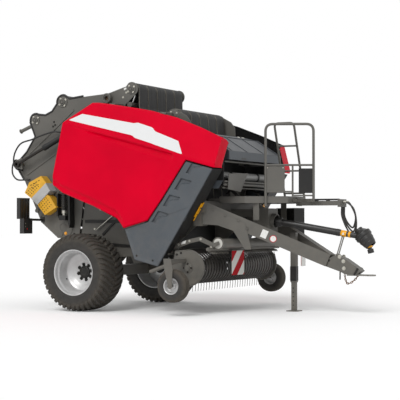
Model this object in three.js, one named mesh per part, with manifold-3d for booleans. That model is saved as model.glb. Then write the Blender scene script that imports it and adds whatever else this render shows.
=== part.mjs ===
// Round baler, towed, variable chamber: millimetres, +X forward to the hitch, +Y left, +Z up.
// While the pieces are made, x = 0 is the main axle and z = 0 the ground. The group is shifted at the
// end so that its origin is the bottom centre of its bounding box.
import * as THREE from 'three';
import { mergeVertices } from 'three/addons/utils/BufferGeometryUtils.js';
import Module from 'manifold-3d';

const wasm = await Module();
wasm.setup();

// ---------------------------------------------------------------- driving dimensions
const GAP = 0.3;                 // seat gap between two pieces that touch
const PIN_GAP = 0.15;            // radial gap of a pin in its bore
const CLEAR = 10;                // running gap beside a moving piece

const WHEEL_R = 510;             // main tyre over its lugs
const TYRE_W = 500;
const TRACK = 2090;              // distance between the two tyre centre planes
const RIM_R = 300;               // rim flange
const RIM_SHEET = 12;
const HUB_R = 78;
const WHEEL_SIDES = 24;
const SPINDLE_R = 42;
const RIM_DISC = -150;          // inner face of the rim's disc, from the wheel's centre plane
const BORE_END = RIM_DISC + 80;  // closed end of the hub's bore

const CHAMBER_HALF = 640;        // inner face of a fixed chamber side plate
const SIDE_PLATE = 12;           // thickness of chamber and tailgate side plates
const BELT_HALF = CHAMBER_HALF - 44;         // half width of the belt band
const BELT_T = 10;

const HINGE_X = 140;             // tailgate hinge
const HINGE_Z = 2837;
const HINGE_PIN_R = 42;
const HINGE_SIDES = 24;
const GATE_INNER = CHAMBER_HALF + SIDE_PLATE + CLEAR;
const GATE_OUTER = GATE_INNER + SIDE_PLATE;

const COVER_Y = CHAMBER_HALF + 510;          // outer face of the side covers
const COVER_SHEET = 14;
const COVER_RETURN = 62;         // depth of a cover's turned-in edge
const PANEL_DEPTH = 150;         // front panels, outside face to inner edge
const COVER_HINGE_Y = CHAMBER_HALF + 228;
const COVER_INNER = COVER_HINGE_Y + 22;      // y of a cover's top edge
const COVER_HINGE = [[340, 2725], [1120, 2580]];  // hinge places along the cover's sloping axis, x and z
const COVER_SLOPE = (COVER_HINGE[1][1] - COVER_HINGE[0][1]) / (COVER_HINGE[1][0] - COVER_HINGE[0][0]);
const COVER_EYE_R = 24;
const COVER_PIN_R = 11;

const LIFT_Y = GATE_OUTER + 118; // plane of the tailgate cylinders
const LIFT_BASE = [250, 2690];   // cylinder's pin on the chamber, x and z
const LIFT_EYE = [-1261, 1973];  // rod's eye at the tailgate's rear corner, x and z
const LIFT_BARREL_R = 38;
const LIFT_ROD_R = 22;
const LIFT_BARREL_L = 1180;

const BEAM_W = 80;               // drawbar beams
const BEAM_H = 165;
const BEAM_REAR = [1600, 788, 1376];
const BEAM_APEX = [3075, 58, 680];
const CROSS_X = 1560;            // rear face of the drawbar's cross tube
const CROSS_SIZE = 150;
const GUSSET_OUT = 10;           // a gusset's outer face, beyond the beam's

const JACK_X = 2507;
const JACK_Y = 170;              // beside the drive shaft
const JACK_SLEEVE = 76;
const JACK_LEG = 60;
const JACK_STROKE_TOP = 380;     // lower end of the fixed sleeve
const FOOT = 160;
const FOOT_T = 12;

const PICKUP_PIVOT = [1150, 830];
const REEL = [1600, 592];        // centre of the tine reel, x and z
const TINE_R = 305;              // tine tips
const BAND_R = 205;              // outside of the stripper bands
const BAND_T = 6;
const BAND_FOOT = [1270, 470];   // rear ends of the bands, below and above
const BAND_HEAD = [1310, 815];
const BAND_COUNT = 9;
const BAND_SPAN = 2110;          // width over all bands
const TINE_GAP = 34;             // opening between two bands
const PICKUP_END = 1085;         // outer face of a pick-up end plate
const GUARD_ARM_Y = 957;         // inner face of a windguard arm
const ROLLER_HALF = 940;         // half the crop roller's length
const END_T = 12;
const GAUGE = [1590, 1440, 380]; // right and left gauge wheel centre, y mirrored
const GAUGE_R = 205;
const GAUGE_W = 150;

const PANEL_LEAN = -0.5655;      // direction square to the front panels' lower edge, seen from the side
const PANEL_FREE = 185;          // kept free beyond it, from the pick-up's pivot
const PICKUP_LIFT = 0.2618;

const GUARD_TUBE = [1868, 828];  // windguard tube, x and z
const CROP_ROLLER = [1950, 900];
const GUARD_PIVOT = [1345, 856];

const PTO_REAR = [2345, 1179];
const PTO_BEND = [3443, 998];
const PTO_TUBE_R = 44;
const PTO_BELL = [3540, 996];    // centre of the bell's widest ring, x and z
const PTO_TIP = [3644, 873];     // centre of its open mouth
const BELL_R = 112;
const MOUTH_R = 72;
const YOKE_LEAN = [36, -127];    // the free yoke hangs more steeply than the bell
const YOKE_END = 148;            // its end face, from the joint inside the bell

// ---------------------------------------------------------------- helpers
const TAU = Math.PI * 2;
const V = (x, y, z) => new THREE.Vector3(x, y, z);

function solid(geometry) {
  const g = geometry.clone();
  g.deleteAttribute('normal');
  g.deleteAttribute('uv');
  const merged = mergeVertices(g, 1e-4);
  return new wasm.Manifold(new wasm.Mesh({
    numProp: 3,
    vertProperties: Float32Array.from(merged.attributes.position.array),
    triVerts: Uint32Array.from(merged.index.array),
  }));
}

function join(...parts) {
  return parts.flat().reduce((a, b) => a.add(b));
}

function box(x0, x1, y0, y1, z0, z1) {
  const g = new THREE.BoxGeometry(x1 - x0, y1 - y0, z1 - z0);
  g.translate((x0 + x1) / 2, (y0 + y1) / 2, (z0 + z1) / 2);
  return solid(g);
}

// A plate whose outline is given in x and z, from y0 to y1.
function plateXZ(points, y0, y1, holes = []) {
  const shape = new THREE.Shape(points.map(([x, z]) => new THREE.Vector2(x, z)));
  holes.forEach((h) => shape.holes.push(new THREE.Path(h.map(([x, z]) => new THREE.Vector2(x, z)))));
  const g = new THREE.ExtrudeGeometry(shape, { depth: y1 - y0, bevelEnabled: false });
  g.rotateX(Math.PI / 2);
  g.translate(0, y1, 0);
  return solid(g);
}

// A plate whose outline is given in x and y, from z0 to z1.
function plateXY(points, z0, z1) {
  const shape = new THREE.Shape(points.map(([x, y]) => new THREE.Vector2(x, y)));
  const g = new THREE.ExtrudeGeometry(shape, { depth: z1 - z0, bevelEnabled: false });
  g.translate(0, 0, z0);
  return solid(g);
}

// Round bar between two points.
function rod(a, b, r, sides = 16, r2 = r) {
  const from = V(...a);
  const to = V(...b);
  const g = new THREE.CylinderGeometry(r2, r, from.distanceTo(to), sides);
  const turn = new THREE.Quaternion().setFromUnitVectors(V(0, 1, 0), to.clone().sub(from).normalize());
  g.applyQuaternion(turn);
  g.translate(...from.clone().add(to).multiplyScalar(0.5).toArray());
  return solid(g);
}

const rodY = (x, z, y0, y1, r, sides = 16) => rod([x, y0, z], [x, y1, z], r, sides);

// Square bar between two points, its height kept upright.
function beam(a, b, width, height) {
  const from = V(...a);
  const to = V(...b);
  const along = to.clone().sub(from);
  const g = new THREE.BoxGeometry(along.length(), width, height);
  const x = along.clone().normalize();
  const y = V(0, 0, 1).cross(x).normalize();
  const z = x.clone().cross(y);
  g.applyMatrix4(new THREE.Matrix4().makeBasis(x, y, z));
  g.translate(...from.add(to).multiplyScalar(0.5).toArray());
  return solid(g);
}

// Everything on the far side of a plane, as a large block with one face on it.
function beyond(point, normal, size = 8000) {
  const g = new THREE.BoxGeometry(size, size, size);
  g.translate(0, size / 2, 0);
  g.applyQuaternion(new THREE.Quaternion().setFromUnitVectors(V(0, 1, 0), V(...normal).normalize()));
  g.translate(...point);
  return solid(g);
}

// Ring turned about the y axis from a closed outline of [radius, y].
function turned(profile, segments) {
  const g = new THREE.LatheGeometry(profile.map(([r, y]) => new THREE.Vector2(r, y)), segments);
  let m = solid(g);
  if (m.volume() < 0) {
    m = solid(new THREE.LatheGeometry(profile.slice().reverse()
      .map(([r, y]) => new THREE.Vector2(r, y)), segments));
  }
  return m;
}

// Round tube along straight runs with rounded corners.
function bentTube(points, r, bend, sides = 6) {
  const p = points.map((q) => V(...q));
  const runs = [];
  let from = p[0];
  for (let i = 1; i < p.length - 1; i += 1) {
    const a = p[i].clone().sub(p[i - 1]).normalize();
    const b = p[i + 1].clone().sub(p[i]).normalize();
    const start = p[i].clone().addScaledVector(a, -bend);
    const end = p[i].clone().addScaledVector(b, bend);
    runs.push(rod(from.toArray(), start.clone().addScaledVector(a, 1).toArray(), r, sides));
    runs.push(sweep(new THREE.QuadraticBezierCurve3(start, p[i], end), r, 3, sides));
    from = end.clone().addScaledVector(b, -1);
  }
  runs.push(rod(from.toArray(), p[p.length - 1].toArray(), r, sides));
  return join(runs);
}

function sweep(path, r, steps, sides = 8) {
  const section = new THREE.Shape();
  for (let i = 0; i < sides; i += 1) {
    const a = (i / sides) * TAU;
    if (i === 0) section.moveTo(r, 0);
    else section.lineTo(r * Math.cos(a), r * Math.sin(a));
  }
  return solid(new THREE.ExtrudeGeometry(section, { steps, bevelEnabled: false, extrudePath: path }));
}

// A hose through points chosen by hand.
function hose(points, r, steps) {
  return sweep(new THREE.CatmullRomCurve3(points.map((q) => V(...q)), false, 'centripetal'), r, steps);
}

// Flat strip that follows a line of [x, z] points, with its thickness to the left of travel.
function strip(points, t, y0, y1) {
  const side = points.map(([x, z], i) => {
    const [ax, az] = points[Math.max(0, i - 1)];
    const [bx, bz] = points[Math.min(points.length - 1, i + 1)];
    const l = Math.hypot(bx - ax, bz - az);
    return [x - ((bz - az) / l) * t, z + ((bx - ax) / l) * t];
  });
  return plateXZ(points.concat(side.reverse()), y0, y1);
}

// Points on an arc about [cx, cz], degrees from +x towards +z.
function arc(cx, cz, r, from, to, n) {
  return Array.from({ length: n + 1 }, (_, i) => {
    const a = THREE.MathUtils.degToRad(from + ((to - from) * i) / n);
    return [cx + r * Math.cos(a), cz + r * Math.sin(a)];
  });
}

// Radius of a bore's corners that leaves a gap all round a shaft.
const boreR = (r, gap, sides) => (r + gap) / Math.cos(Math.PI / sides);

const mirror = (m) => m.mirror([0, 1, 0]);

// ---------------------------------------------------------------- scene graph
const machine = new THREE.Group();
const chassis = new THREE.Group();
const tailgate = new THREE.Group();
const pickup = new THREE.Group();
machine.add(chassis, tailgate, pickup);

const paint = {
  frame: [0x5a5853, 0.55, 0.3],
  red: [0xd4003a, 0.3, 0.1],
  panel: [0x535a60, 0.5, 0.1],
  black: [0x1c1c1c, 0.7, 0.0],
  belt: [0x2b2b2b, 0.85, 0.0],
  tyre: [0x262524, 0.9, 0.0],
  silver: [0xc8c8c8, 0.4, 0.6],
  bare: [0x9a9a98, 0.35, 0.8],
  yellow: [0xe0a820, 0.5, 0.0],
  white: [0xdedede, 0.5, 0.0],
};

function add(name, shape, colour, parent = chassis) {
  const out = shape.getMesh();
  const g = new THREE.BufferGeometry();
  g.setAttribute('position', new THREE.BufferAttribute(Float32Array.from(out.vertProperties), 3));
  g.setIndex(new THREE.BufferAttribute(Uint32Array.from(out.triVerts), 1));
  g.computeVertexNormals();
  const [color, roughness, metalness] = paint[colour];
  const mesh = new THREE.Mesh(g, new THREE.MeshStandardMaterial({ color, roughness, metalness }));
  mesh.name = name;
  parent.add(mesh);
  return mesh;
}

// ---------------------------------------------------------------- wheels
// A wheel is made with its outer side at +y about its own centre, and turned round for the right side.
function tyreShape() {
  const h = TYRE_W / 2;
  return turned([
    [RIM_R - 6, -h + 22], [RIM_R + 70, -h], [WHEEL_R - 70, -h + 4], [WHEEL_R - 18, -h + 36],
    [WHEEL_R, -h + 96], [WHEEL_R, h - 96], [WHEEL_R - 18, h - 36], [WHEEL_R - 70, h - 4],
    [RIM_R + 70, h], [RIM_R - 6, h - 22],
  ].concat([[RIM_R - 6, -h + 22]]), WHEEL_SIDES);
}

function rimShape() {
  const h = TYRE_W / 2 - 22;
  const seat = RIM_R - 6 - GAP;
  const inner = seat - RIM_SHEET;
  const bore = boreR(SPINDLE_R, PIN_GAP, WHEEL_SIDES);
  const profile = [
    [seat, -h], [seat, h], [inner, h], [inner, 60], [inner - 22, 30], [inner - 40, -100],
    [inner - 120, RIM_DISC + 24], [HUB_R, RIM_DISC + 24], [HUB_R, BORE_END + 26], [0, BORE_END + 26],
    [0, BORE_END], [bore, BORE_END], [bore, RIM_DISC - 60], [HUB_R, RIM_DISC - 60],
    [HUB_R, RIM_DISC], [inner - 130, RIM_DISC], [inner, -110], [inner, -h],
    [seat, -h],
  ];
  return turned(profile, WHEEL_SIDES);
}

for (const [side, turn] of [['right', Math.PI], ['left', 0]]) {
  const wheel = new THREE.Group();
  wheel.position.set(0, (side === 'left' ? 1 : -1) * (TRACK / 2), WHEEL_R);
  wheel.rotation.z = turn;
  machine.add(wheel);
  add(`${side}_tyre`, tyreShape(), 'tyre', wheel);
  add(`${side}_rim`, rimShape(), 'silver', wheel);
}

// ---------------------------------------------------------------- chamber, fixed half
const TOP_ROLLER = [505, 2945, 78];
const FRONT_ROLLER = [1150, 2560, 92];
const LOW_ROLLER = [1270, 1290, 80];

function chamberFrame() {
  const outline = [
    [-300, 880], [-225, 1500], [-40, 2200], [70, 2700], [92, 2790],
    ...arc(HINGE_X, HINGE_Z, 66, 190, 100, 3),
    [420, 2985], ...arc(TOP_ROLLER[0], TOP_ROLLER[1], 96, 120, 10, 4),
    [600, 2850], [760, 2690], [1000, 2600], [1180, 2640], [1340, 2600], [1400, 2480],
    [1430, 1960], [1450, 1655], [CROSS_X - GAP, 1610], [CROSS_X - GAP, 1180], [1260, 930], [1130, 760],
    [300, 700], [-180, 760],
  ];
  const slab = plateXZ(outline, CHAMBER_HALF, CHAMBER_HALF + SIDE_PLATE);
  const pin = rodY(HINGE_X, HINGE_Z, CHAMBER_HALF + 2, GATE_OUTER + 30, HINGE_PIN_R, HINGE_SIDES)
    .subtract(rodY(HINGE_X, HINGE_Z, GATE_OUTER - 20, GATE_OUTER + 40, HINGE_PIN_R - 10, 16));
  const liftPin = rodY(LIFT_BASE[0], LIFT_BASE[1], CHAMBER_HALF + 2, LIFT_Y - 26, 46)
    .add(rodY(LIFT_BASE[0], LIFT_BASE[1], LIFT_Y - 30, LIFT_Y + 34, 24));
  return { slab, pin, liftPin };
}

// Round bar along the cover's hinge axis, centred on one hinge.
function onCoverAxis([x, z], half, r, sides = 12) {
  const dx = COVER_HINGE[1][0] - COVER_HINGE[0][0];
  const dz = COVER_HINGE[1][1] - COVER_HINGE[0][1];
  const l = Math.hypot(dx, dz);
  const at = (s) => [x + (dx / l) * s, COVER_HINGE_Y, z + (dz / l) * s];
  return rod(at(-half), at(half), r, sides);
}

// One of the two round-nosed plates that hold a cover's hinge pin.
function earPlate(x, z, back) {
  const noseR = COVER_PIN_R + 7;
  return join(
    box(x, x + 10, back - 8, COVER_HINGE_Y, z - noseR, z + noseR),
    rod([x, COVER_HINGE_Y, z], [x + 10, COVER_HINGE_Y, z], noseR, 16),
  );
}

{
  const { slab, pin, liftPin } = chamberFrame();
  const ear = COVER_HINGE.map(([x, z]) => {
    const back = COVER_HINGE_Y - COVER_EYE_R - 8;
    return join(
      earPlate(x - 38, z - 33 * COVER_SLOPE, back),
      earPlate(x + 28, z + 33 * COVER_SLOPE, back),
      box(x - 38, x + 38, CHAMBER_HALF + 2, back, z - 24, z + 20),
      box(x - 38, x + 38, CHAMBER_HALF + 2, CHAMBER_HALF + 20, z - 140, z + 20),
      onCoverAxis([x, z], 34, COVER_PIN_R),
    );
  });
  const pickupPin = rodY(PICKUP_PIVOT[0], PICKUP_PIVOT[1], CHAMBER_HALF + 2, CHAMBER_HALF + 62, 26);
  const side = join(slab, pin, liftPin, ear, pickupPin);
  const across = CHAMBER_HALF + 4;
  const ties = [
    [-150, 1080, 38], [470, 2740, 38], [820, 2600, 34], [700, 780, 44],
  ].map(([x, z, r]) => rodY(x, z, -across, across, r, 12));
  const floor = box(-120, 1080, -across, across, 742, 752);
  add('chamber_frame', join(side, mirror(side), ties, floor), 'frame');
}

function roller([x, z, r], shaft = 30) {
  return join(rodY(x, z, -BELT_HALF - 14, BELT_HALF + 14, r, 20),
    rodY(x, z, -CHAMBER_HALF + GAP, CHAMBER_HALF - GAP, shaft, 12));
}
add('top_roller', roller(TOP_ROLLER), 'black');
add('front_roller', roller(FRONT_ROLLER), 'black');
add('lower_roller', roller(LOW_ROLLER), 'black');

function fixedBelts() {
  const g = GAP + 1.4;
  const line = [
    [250, 2560],
    ...arc(TOP_ROLLER[0], TOP_ROLLER[1], TOP_ROLLER[2] + g, 156, 0, 7),
    [590, 2700], [622, 2600], [720, 2525], [900, 2500], [1000, 2540],
    ...arc(FRONT_ROLLER[0], FRONT_ROLLER[1], FRONT_ROLLER[2] + g, 136, 5, 6),
    ...arc(LOW_ROLLER[0], LOW_ROLLER[1], LOW_ROLLER[2] + g, 5, -150, 7),
  ];
  return strip(line, BELT_T, -BELT_HALF, BELT_HALF);
}
add('front_belts', fixedBelts(), 'belt');

// Rotor, knives and their driveline, closed in: one plain block.
add('feed_housing', join(
  box(820, 1090, -CHAMBER_HALF + GAP, CHAMBER_HALF - GAP, 760, 1120),
), 'black');

// ---------------------------------------------------------------- axle
{
  const inner = TRACK / 2 - TYRE_W / 2 - 30;
  const spindleEnd = TRACK / 2 + BORE_END - 4;
  const spindle = rodY(0, WHEEL_R, inner - 4, spindleEnd, SPINDLE_R, 20)
    .add(rodY(0, WHEEL_R, inner - 4, TRACK / 2 + RIM_DISC - 72, 62, 12));
  const plate = plateXZ([
    [-150, WHEEL_R - 20], [150, WHEEL_R - 20], [420, 742 - GAP], [-260, 742 - GAP],
  ], 560, 574);
  add('axle', join(
    box(-70, 70, -inner, inner, WHEEL_R - 70, WHEEL_R + 70),
    plate, mirror(plate), spindle, mirror(spindle),
  ), 'frame');
}

// ---------------------------------------------------------------- drawbar
const [BRX, BRY, BRZ] = BEAM_REAR;
const [BAX, BAY, BAZ] = BEAM_APEX;
const beamY = (x) => BRY + ((BAY - BRY) * (x - BRX)) / (BAX - BRX);
const beamTop = (x) => BRZ + ((BAZ - BRZ) * (x - BRX)) / (BAX - BRX) + BEAM_H / 2 + 14;

function drawbar() {
  const one = beam([BRX, BRY, BRZ], [BAX, BAY, BAZ], BEAM_W, BEAM_H);
  const gusset = plateXZ([
    [1560, 1380], [1640, 1440], [2210, 1150], [2240, 1050], [2290, 820], [2210, 820], [2060, 1060],
    [1860, 1130], [1560, 1150],
  ], -6, 6);
  const lean = Math.atan2(BAY - BRY, BAX - BRX);
  const laid = gusset.translate([-BRX, 0, 0]).rotate([0, 0, THREE.MathUtils.radToDeg(lean)])
    .translate([BRX, BRY + (BEAM_W / 2 + GUSSET_OUT - 6) / Math.cos(lean), 0]);
  const cross = box(CROSS_X, CROSS_X + CROSS_SIZE, -860, 860, 1290, 1290 + CROSS_SIZE);
  const legs = box(CROSS_X, CROSS_X + 110, 690, 860, 1120, 1300);
  const apex = plateXZ([
    [3000, 660], [3191, 754], [3314, 705], [3500, 583], [3530, 551], [3471, 509], [3314, 509],
    [3252, 539], [3040, 610],
  ], -72, 72);
  const jackPlates = box(JACK_X - JACK_SLEEVE / 2 - 30, JACK_X - JACK_SLEEVE / 2 - GAP, 10 - beamY(JACK_X),
    beamY(JACK_X) - 10, beamTop(JACK_X) - 170, beamTop(JACK_X) - 50);
  return join(one, mirror(one), laid, mirror(laid), cross, legs, mirror(legs), apex, jackPlates);
}
add('drawbar', drawbar(), 'frame');

add('hitch_eye', join(
  box(3330, 3640, -45, 45, 489, 509 - GAP),
  rod([3640, 0, 489], [3640, 0, 509 - GAP], 60, 28),
).subtract(rod([3640, 0, 480], [3640, 0, 520], 26, 24)), 'bare');

// ---------------------------------------------------------------- jack
{
  const top = beamTop(JACK_X) - 10;
  const post = (half, z0, z1) => box(JACK_X - half, JACK_X + half, JACK_Y - half, JACK_Y + half, z0, z1);
  add('jack_sleeve', post(JACK_SLEEVE / 2, JACK_STROKE_TOP, top)
    .subtract(post(JACK_LEG / 2 + GAP, JACK_STROKE_TOP - 10, top + 10)), 'frame');
  const leg = new THREE.Group();
  machine.add(leg);
  add('jack_leg', join(post(JACK_LEG / 2, FOOT_T - 2, top - 60), post(FOOT / 2, 0, FOOT_T)), 'frame', leg);
}

// ---------------------------------------------------------------- gearbox and drive shaft
add('gearbox', join(
  box(CROSS_X + CROSS_SIZE + GAP, 2070, -95, 95, 1240, 1340),
  box(2060, 2280, -150, 150, 1040, 1350),
  rod([2270, 0, 1192], [2330, 0, 1182], 95, 24),
).subtract(rod([2290, 0, 1189], [2340, 0, 1180], 84, 24)), 'frame');

const ptoLean = Math.atan2(PTO_BEND[1] - PTO_REAR[1], PTO_BEND[0] - PTO_REAR[0]);
{
  const shaft = new THREE.Group();
  machine.add(shaft);
  const at = (s) => [PTO_REAR[0] + s * Math.cos(ptoLean), 0, PTO_REAR[1] + s * Math.sin(ptoLean)];
  const length = Math.hypot(PTO_BEND[0] - PTO_REAR[0], PTO_BEND[1] - PTO_REAR[1]);
  const [bx, bz] = PTO_BELL;
  const dir = V(PTO_TIP[0] - bx, 0, PTO_TIP[1] - bz);
  const deep = dir.length();
  dir.normalize();
  const on = (k) => [bx + dir.x * k, 0, bz + dir.z * k];
  const bell = join(
    rod(on(-34), on(26), BELL_R, 24), rod(on(20), on(deep), BELL_R - 14, 24, MOUTH_R),
    rod(on(-84), on(-30), 58, 24, BELL_R - 12), rod(on(-110), on(-80), 52, 16),
  ).subtract(rod(on(44), on(deep + 10), BELL_R - 28, 24, MOUTH_R - 9));
  const joint = on(deep - 65);
  const hang = V(YOKE_LEAN[0], 0, YOKE_LEAN[1]).normalize();
  const down = (k) => [joint[0] + hang.x * k, 0, joint[2] + hang.z * k];
  add('drive_shaft', join(
    rod(at(-45), at(60), 62, 16), rod(at(40), at(900), PTO_TUBE_R, 16),
    rod(at(880), at(length + 12), PTO_TUBE_R - 7, 16), bell,
    rod(on(30), joint, 24, 12), rod(down(-4), down(50), 14, 12),
  ), 'black', shaft);
  add('drive_yoke', join(
    rod(down(24), down(102), 26, 16), rod(down(98), down(YOKE_END), 40, 20),
  ).subtract(rod(down(10), down(58), boreR(14, PIN_GAP, 12), 12))
    .subtract(rod(down(112), down(YOKE_END + 10), 20, 16)), 'black', shaft);
}

// Two rods that hold the uncoupled shaft up from the hitch plates.
{
  const top = 3262;
  const sag = (PTO_TUBE_R + 0.5) / Math.cos(ptoLean);
  const z = PTO_REAR[1] + (top - PTO_REAR[0]) * Math.tan(ptoLean) - sag;
  const legs = [-30, 30].map((y) => rod([3192, y, 758], [top, y, z], 8, 8));
  const rest = rodY(top, z, -44, 44, 8, 12);
  const base = box(3170, 3212, -44, 44, 754 + GAP, 764);
  add('shaft_stand', join(legs, rest, base), 'bare');
}

// ---------------------------------------------------------------- platform, rail, ladder, hose arm
const ARM_FRONT = 3215;          // front and underside of the hose arm's end plate
const ARM_UNDER = 1365;
const PLAT_Z = 1415;
const PLAT_T = 85;
{
  const near = [[2124, -529], [2619, -284]];
  const slab = plateXY([near[0], near[1], [2619, 284], [2124, 529], [1760, 529], [1760, -529]],
    PLAT_Z, PLAT_Z + PLAT_T)
    .subtract(box(1790, 2090, -500, 500, PLAT_Z - 5, PLAT_Z + PLAT_T - 8))
    .subtract(plateXY([[2120, -490], [2590, -258], [2590, 258], [2120, 490]],
      PLAT_Z - 5, PLAT_Z + PLAT_T - 8));
  const x = 2240;
  const post = box(x - 40, x + 40, beamY(x) - 50, beamY(x) - 38, beamTop(x) + GAP + 24, PLAT_Z + 10);
  const rear = box(CROSS_X + 40, CROSS_X + 120, 500, 529, 1290 + CROSS_SIZE + GAP, PLAT_Z + 60)
    .add(box(CROSS_X + 40, 1770, 500, 529, PLAT_Z + 30, PLAT_Z + 60));
  add('platform', join(slab, post, mirror(post), rear, mirror(rear)), 'frame');
}

const RAIL_R = 17;
{
  const a = [2377, -436];
  const b = [2931, -176];
  const top = 2425;
  const onRail = (x) => a[1] + ((b[1] - a[1]) * (x - a[0])) / (b[0] - a[0]);
  const sheet = (x0, x1, z0, z1) => beam([x0, onRail(x0) + 3, (z0 + z1) / 2],
    [x1, onRail(x1) + 3, (z0 + z1) / 2], 7, z1 - z0);
  const tube = bentTube([[...a, PLAT_Z - 40], [...a, top], [...b, top], [...b, 1445]], RAIL_R, 96);
  const mid = rod([...a, 1900], [...b, 1900], 13, 6);
  const post = 2690;
  const inner = rod([post, onRail(post), 1500], [post, onRail(post), 1900], 12, 6);
  const skirt = join(
    rod([...a, 1560], [post, onRail(post), 1560], 10, 6),
    rod([post, onRail(post), 1510], [...b, 1510], 10, 6),
    sheet(a[0] + 6, 2597, 1543, 1884), sheet(2758, b[0] - 6, 1541, 1857),
  );
  const foot = beam([2660, -80, 1450], [...b, 1450], 50, 40)
    .add(box(2619 + GAP, 2680, -120, -30, 1430, 1470));
  add('guard_rail', join(tube, mid, inner, skirt, foot), 'frame');
}

{
  const top = [2160, 300, 2490];
  const foot = [2160, 660, 1480];
  const width = 285;
  const left = bentTube([foot, top, [top[0] + width, top[1], top[2]], [foot[0] + width, foot[1], foot[2]]],
    15, 60);
  const at = (z) => top[1] + ((top[2] - z) * (foot[1] - top[1])) / (top[2] - foot[2]);
  const rungs = [1560, 1860, 2190].map((z) => rod([top[0], at(z), z], [top[0] + width, at(z), z], 12, 6));
  const deck = PLAT_Z + PLAT_T;
  const bracket = box(top[0] - 12, top[0] + width + 12, 340, 664, deck + GAP, deck + 12);
  add('ladder', join(left, rungs, bracket), 'frame');
}

add('hose_arm', join(
  box(2619 + GAP, 3200, 24, 96, 1385, 1445),
  box(3180, ARM_FRONT, 20, 240, ARM_UNDER, 1465),
  box(2619 + GAP, 2635, -20, 140, 1380, 1490),
), 'frame');

{
  const x = 2570;
  const under = BEAM_REAR[2] + ((BAZ - BRZ) * (x + 6 - BRX)) / (BAX - BRX) - 92;
  const y = beamY(x);
  add('left_reflector', join(
    box(x, x + 6, y - 15, y + 15, 640, under - GAP), box(x, x + 6, y - 50, y + 80, 590, 720),
  ), 'white');
}

{
  const depth = 180;
  const lean = Math.atan2(BRY - BAY, BAX - BRX);
  const off = (BEAM_W / 2 + GUSSET_OUT + GAP + depth / 2) / Math.cos(lean);
  const at = (x) => [x, beamY(x) + off, 1130];
  add('valve_box', beam(at(2080), at(2420), depth, 460), 'black');
}

// ---------------------------------------------------------------- net box
const LID_HINGE = [1516, 2326];
const LID_EARS = [-560, 548];     // left edge of each hinge ear
{
  const half = 800;
  const ears = LID_EARS.map((y) => box(1476, LID_HINGE[0] + 22, y, y + 12, 2240, LID_HINGE[1] + 22)
    .subtract(rodY(...LID_HINGE, y - 5, y + 20, boreR(14, PIN_GAP, 12), 12)));
  const cheek = box(1400, 1482, CHAMBER_HALF + SIDE_PLATE + GAP, CHAMBER_HALF + SIDE_PLATE + 10, 1700, 1940);
  add('net_box', join(
    box(1470, 1960, -half, half, 1664, 1676), box(1470, 1482, -half, half, 1664, 1960),
    box(1470, 1482, -600, 600, 1940, 2260),
    box(1470, 1960, -half, -half + 10, 1664, 1940), box(1470, 1960, half - 10, half, 1664, 1940),
    rodY(1830, 1770, -half - 60, half + 60, 48, 16), rodY(1700, 1700, -half, half, 26, 10),
    ears, cheek, mirror(cheek),
  ), 'black');
}

// ---------------------------------------------------------------- side covers and front panels
const COVER_OUTLINE = [
  [-268, 2493], [67, 2761], [166, 2757], [661, 2676], [951, 2622], [1330, 2516], [1702, 2372],
  [1958, 2258], [2060, 2210], [2095, 2150], [2095, 1850], [1988, 1850], [1599, 1953], [1426, 1712],
  [1250, 1460], [1043, 1190], [681, 1091], [564, 1219], [201, 1379], [-282, 1558], [-429, 1664], [-425, 1792],
];
const CREASE = [[-268, 2493], [1600, 2000]];

// An outline moved inwards by d, each corner along its bisector.
function inset(points, d) {
  const n = points.length;
  const area = points.reduce((sum, [x, z], i) => {
    const [bx, bz] = points[(i + 1) % n];
    return sum + x * bz - bx * z;
  }, 0);
  const inward = Math.sign(area);
  return points.map(([x, z], i) => {
    const [ax, az] = points[(i + n - 1) % n];
    const [bx, bz] = points[(i + 1) % n];
    const u = V(x - ax, 0, z - az).normalize();
    const w = V(bx - x, 0, bz - z).normalize();
    const m = V(-(u.z + w.z), 0, u.x + w.x).normalize();
    const k = (inward * d) / Math.max(0.4, m.dot(V(-u.z, 0, u.x)));
    return [x + m.x * k, z + m.z * k];
  });
}


const CREASE_SLOPE = (CREASE[1][1] - CREASE[0][1]) / (CREASE[1][0] - CREASE[0][0]);
const BEVEL = 0.6;               // how far the band above the crease leans in, per unit of height

// y of the cover's outer face at x and z.
function coverFace(x, z) {
  const above = z - CREASE[0][1] - CREASE_SLOPE * (x - CREASE[0][0]);
  return COVER_Y - BEVEL * Math.max(0, above);
}

function coverShell() {
  const bevel = (shift) => beyond([CREASE[0][0], COVER_Y - shift, CREASE[0][1]],
    [-CREASE_SLOPE * BEVEL, 1, BEVEL]);
  const outer = plateXZ(COVER_OUTLINE, COVER_INNER - 10, COVER_Y).subtract(bevel(0));
  const inner = plateXZ(inset(COVER_OUTLINE, COVER_SHEET), COVER_INNER - 30, COVER_Y - COVER_SHEET)
    .subtract(bevel(COVER_SHEET * 1.2));
  const keep = join(
    box(-600, 2200, COVER_Y - COVER_RETURN, COVER_Y + 1, 900, 2900),
    box(2040, 2200, COVER_Y - 150, COVER_Y + 1, 1700, 2400),
    plateXZ([[-600, 2560], [2200, 1860], [2200, 3000], [-600, 3000]], COVER_INNER, COVER_Y + 1),
  );
  return outer.subtract(inner).intersect(keep);
}

function coverLugs() {
  return COVER_HINGE.map(([x, z]) => {
    const low = z - 300;
    const arm = beam([x, COVER_HINGE_Y + 10, z - 6], [x, coverFace(x, low) - 12, low], 12, 30);
    return arm.add(onCoverAxis([x, z], 18, COVER_EYE_R, 16))
      .subtract(onCoverAxis([x, z], 60, boreR(COVER_PIN_R, PIN_GAP, 12), 12));
  });
}

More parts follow.
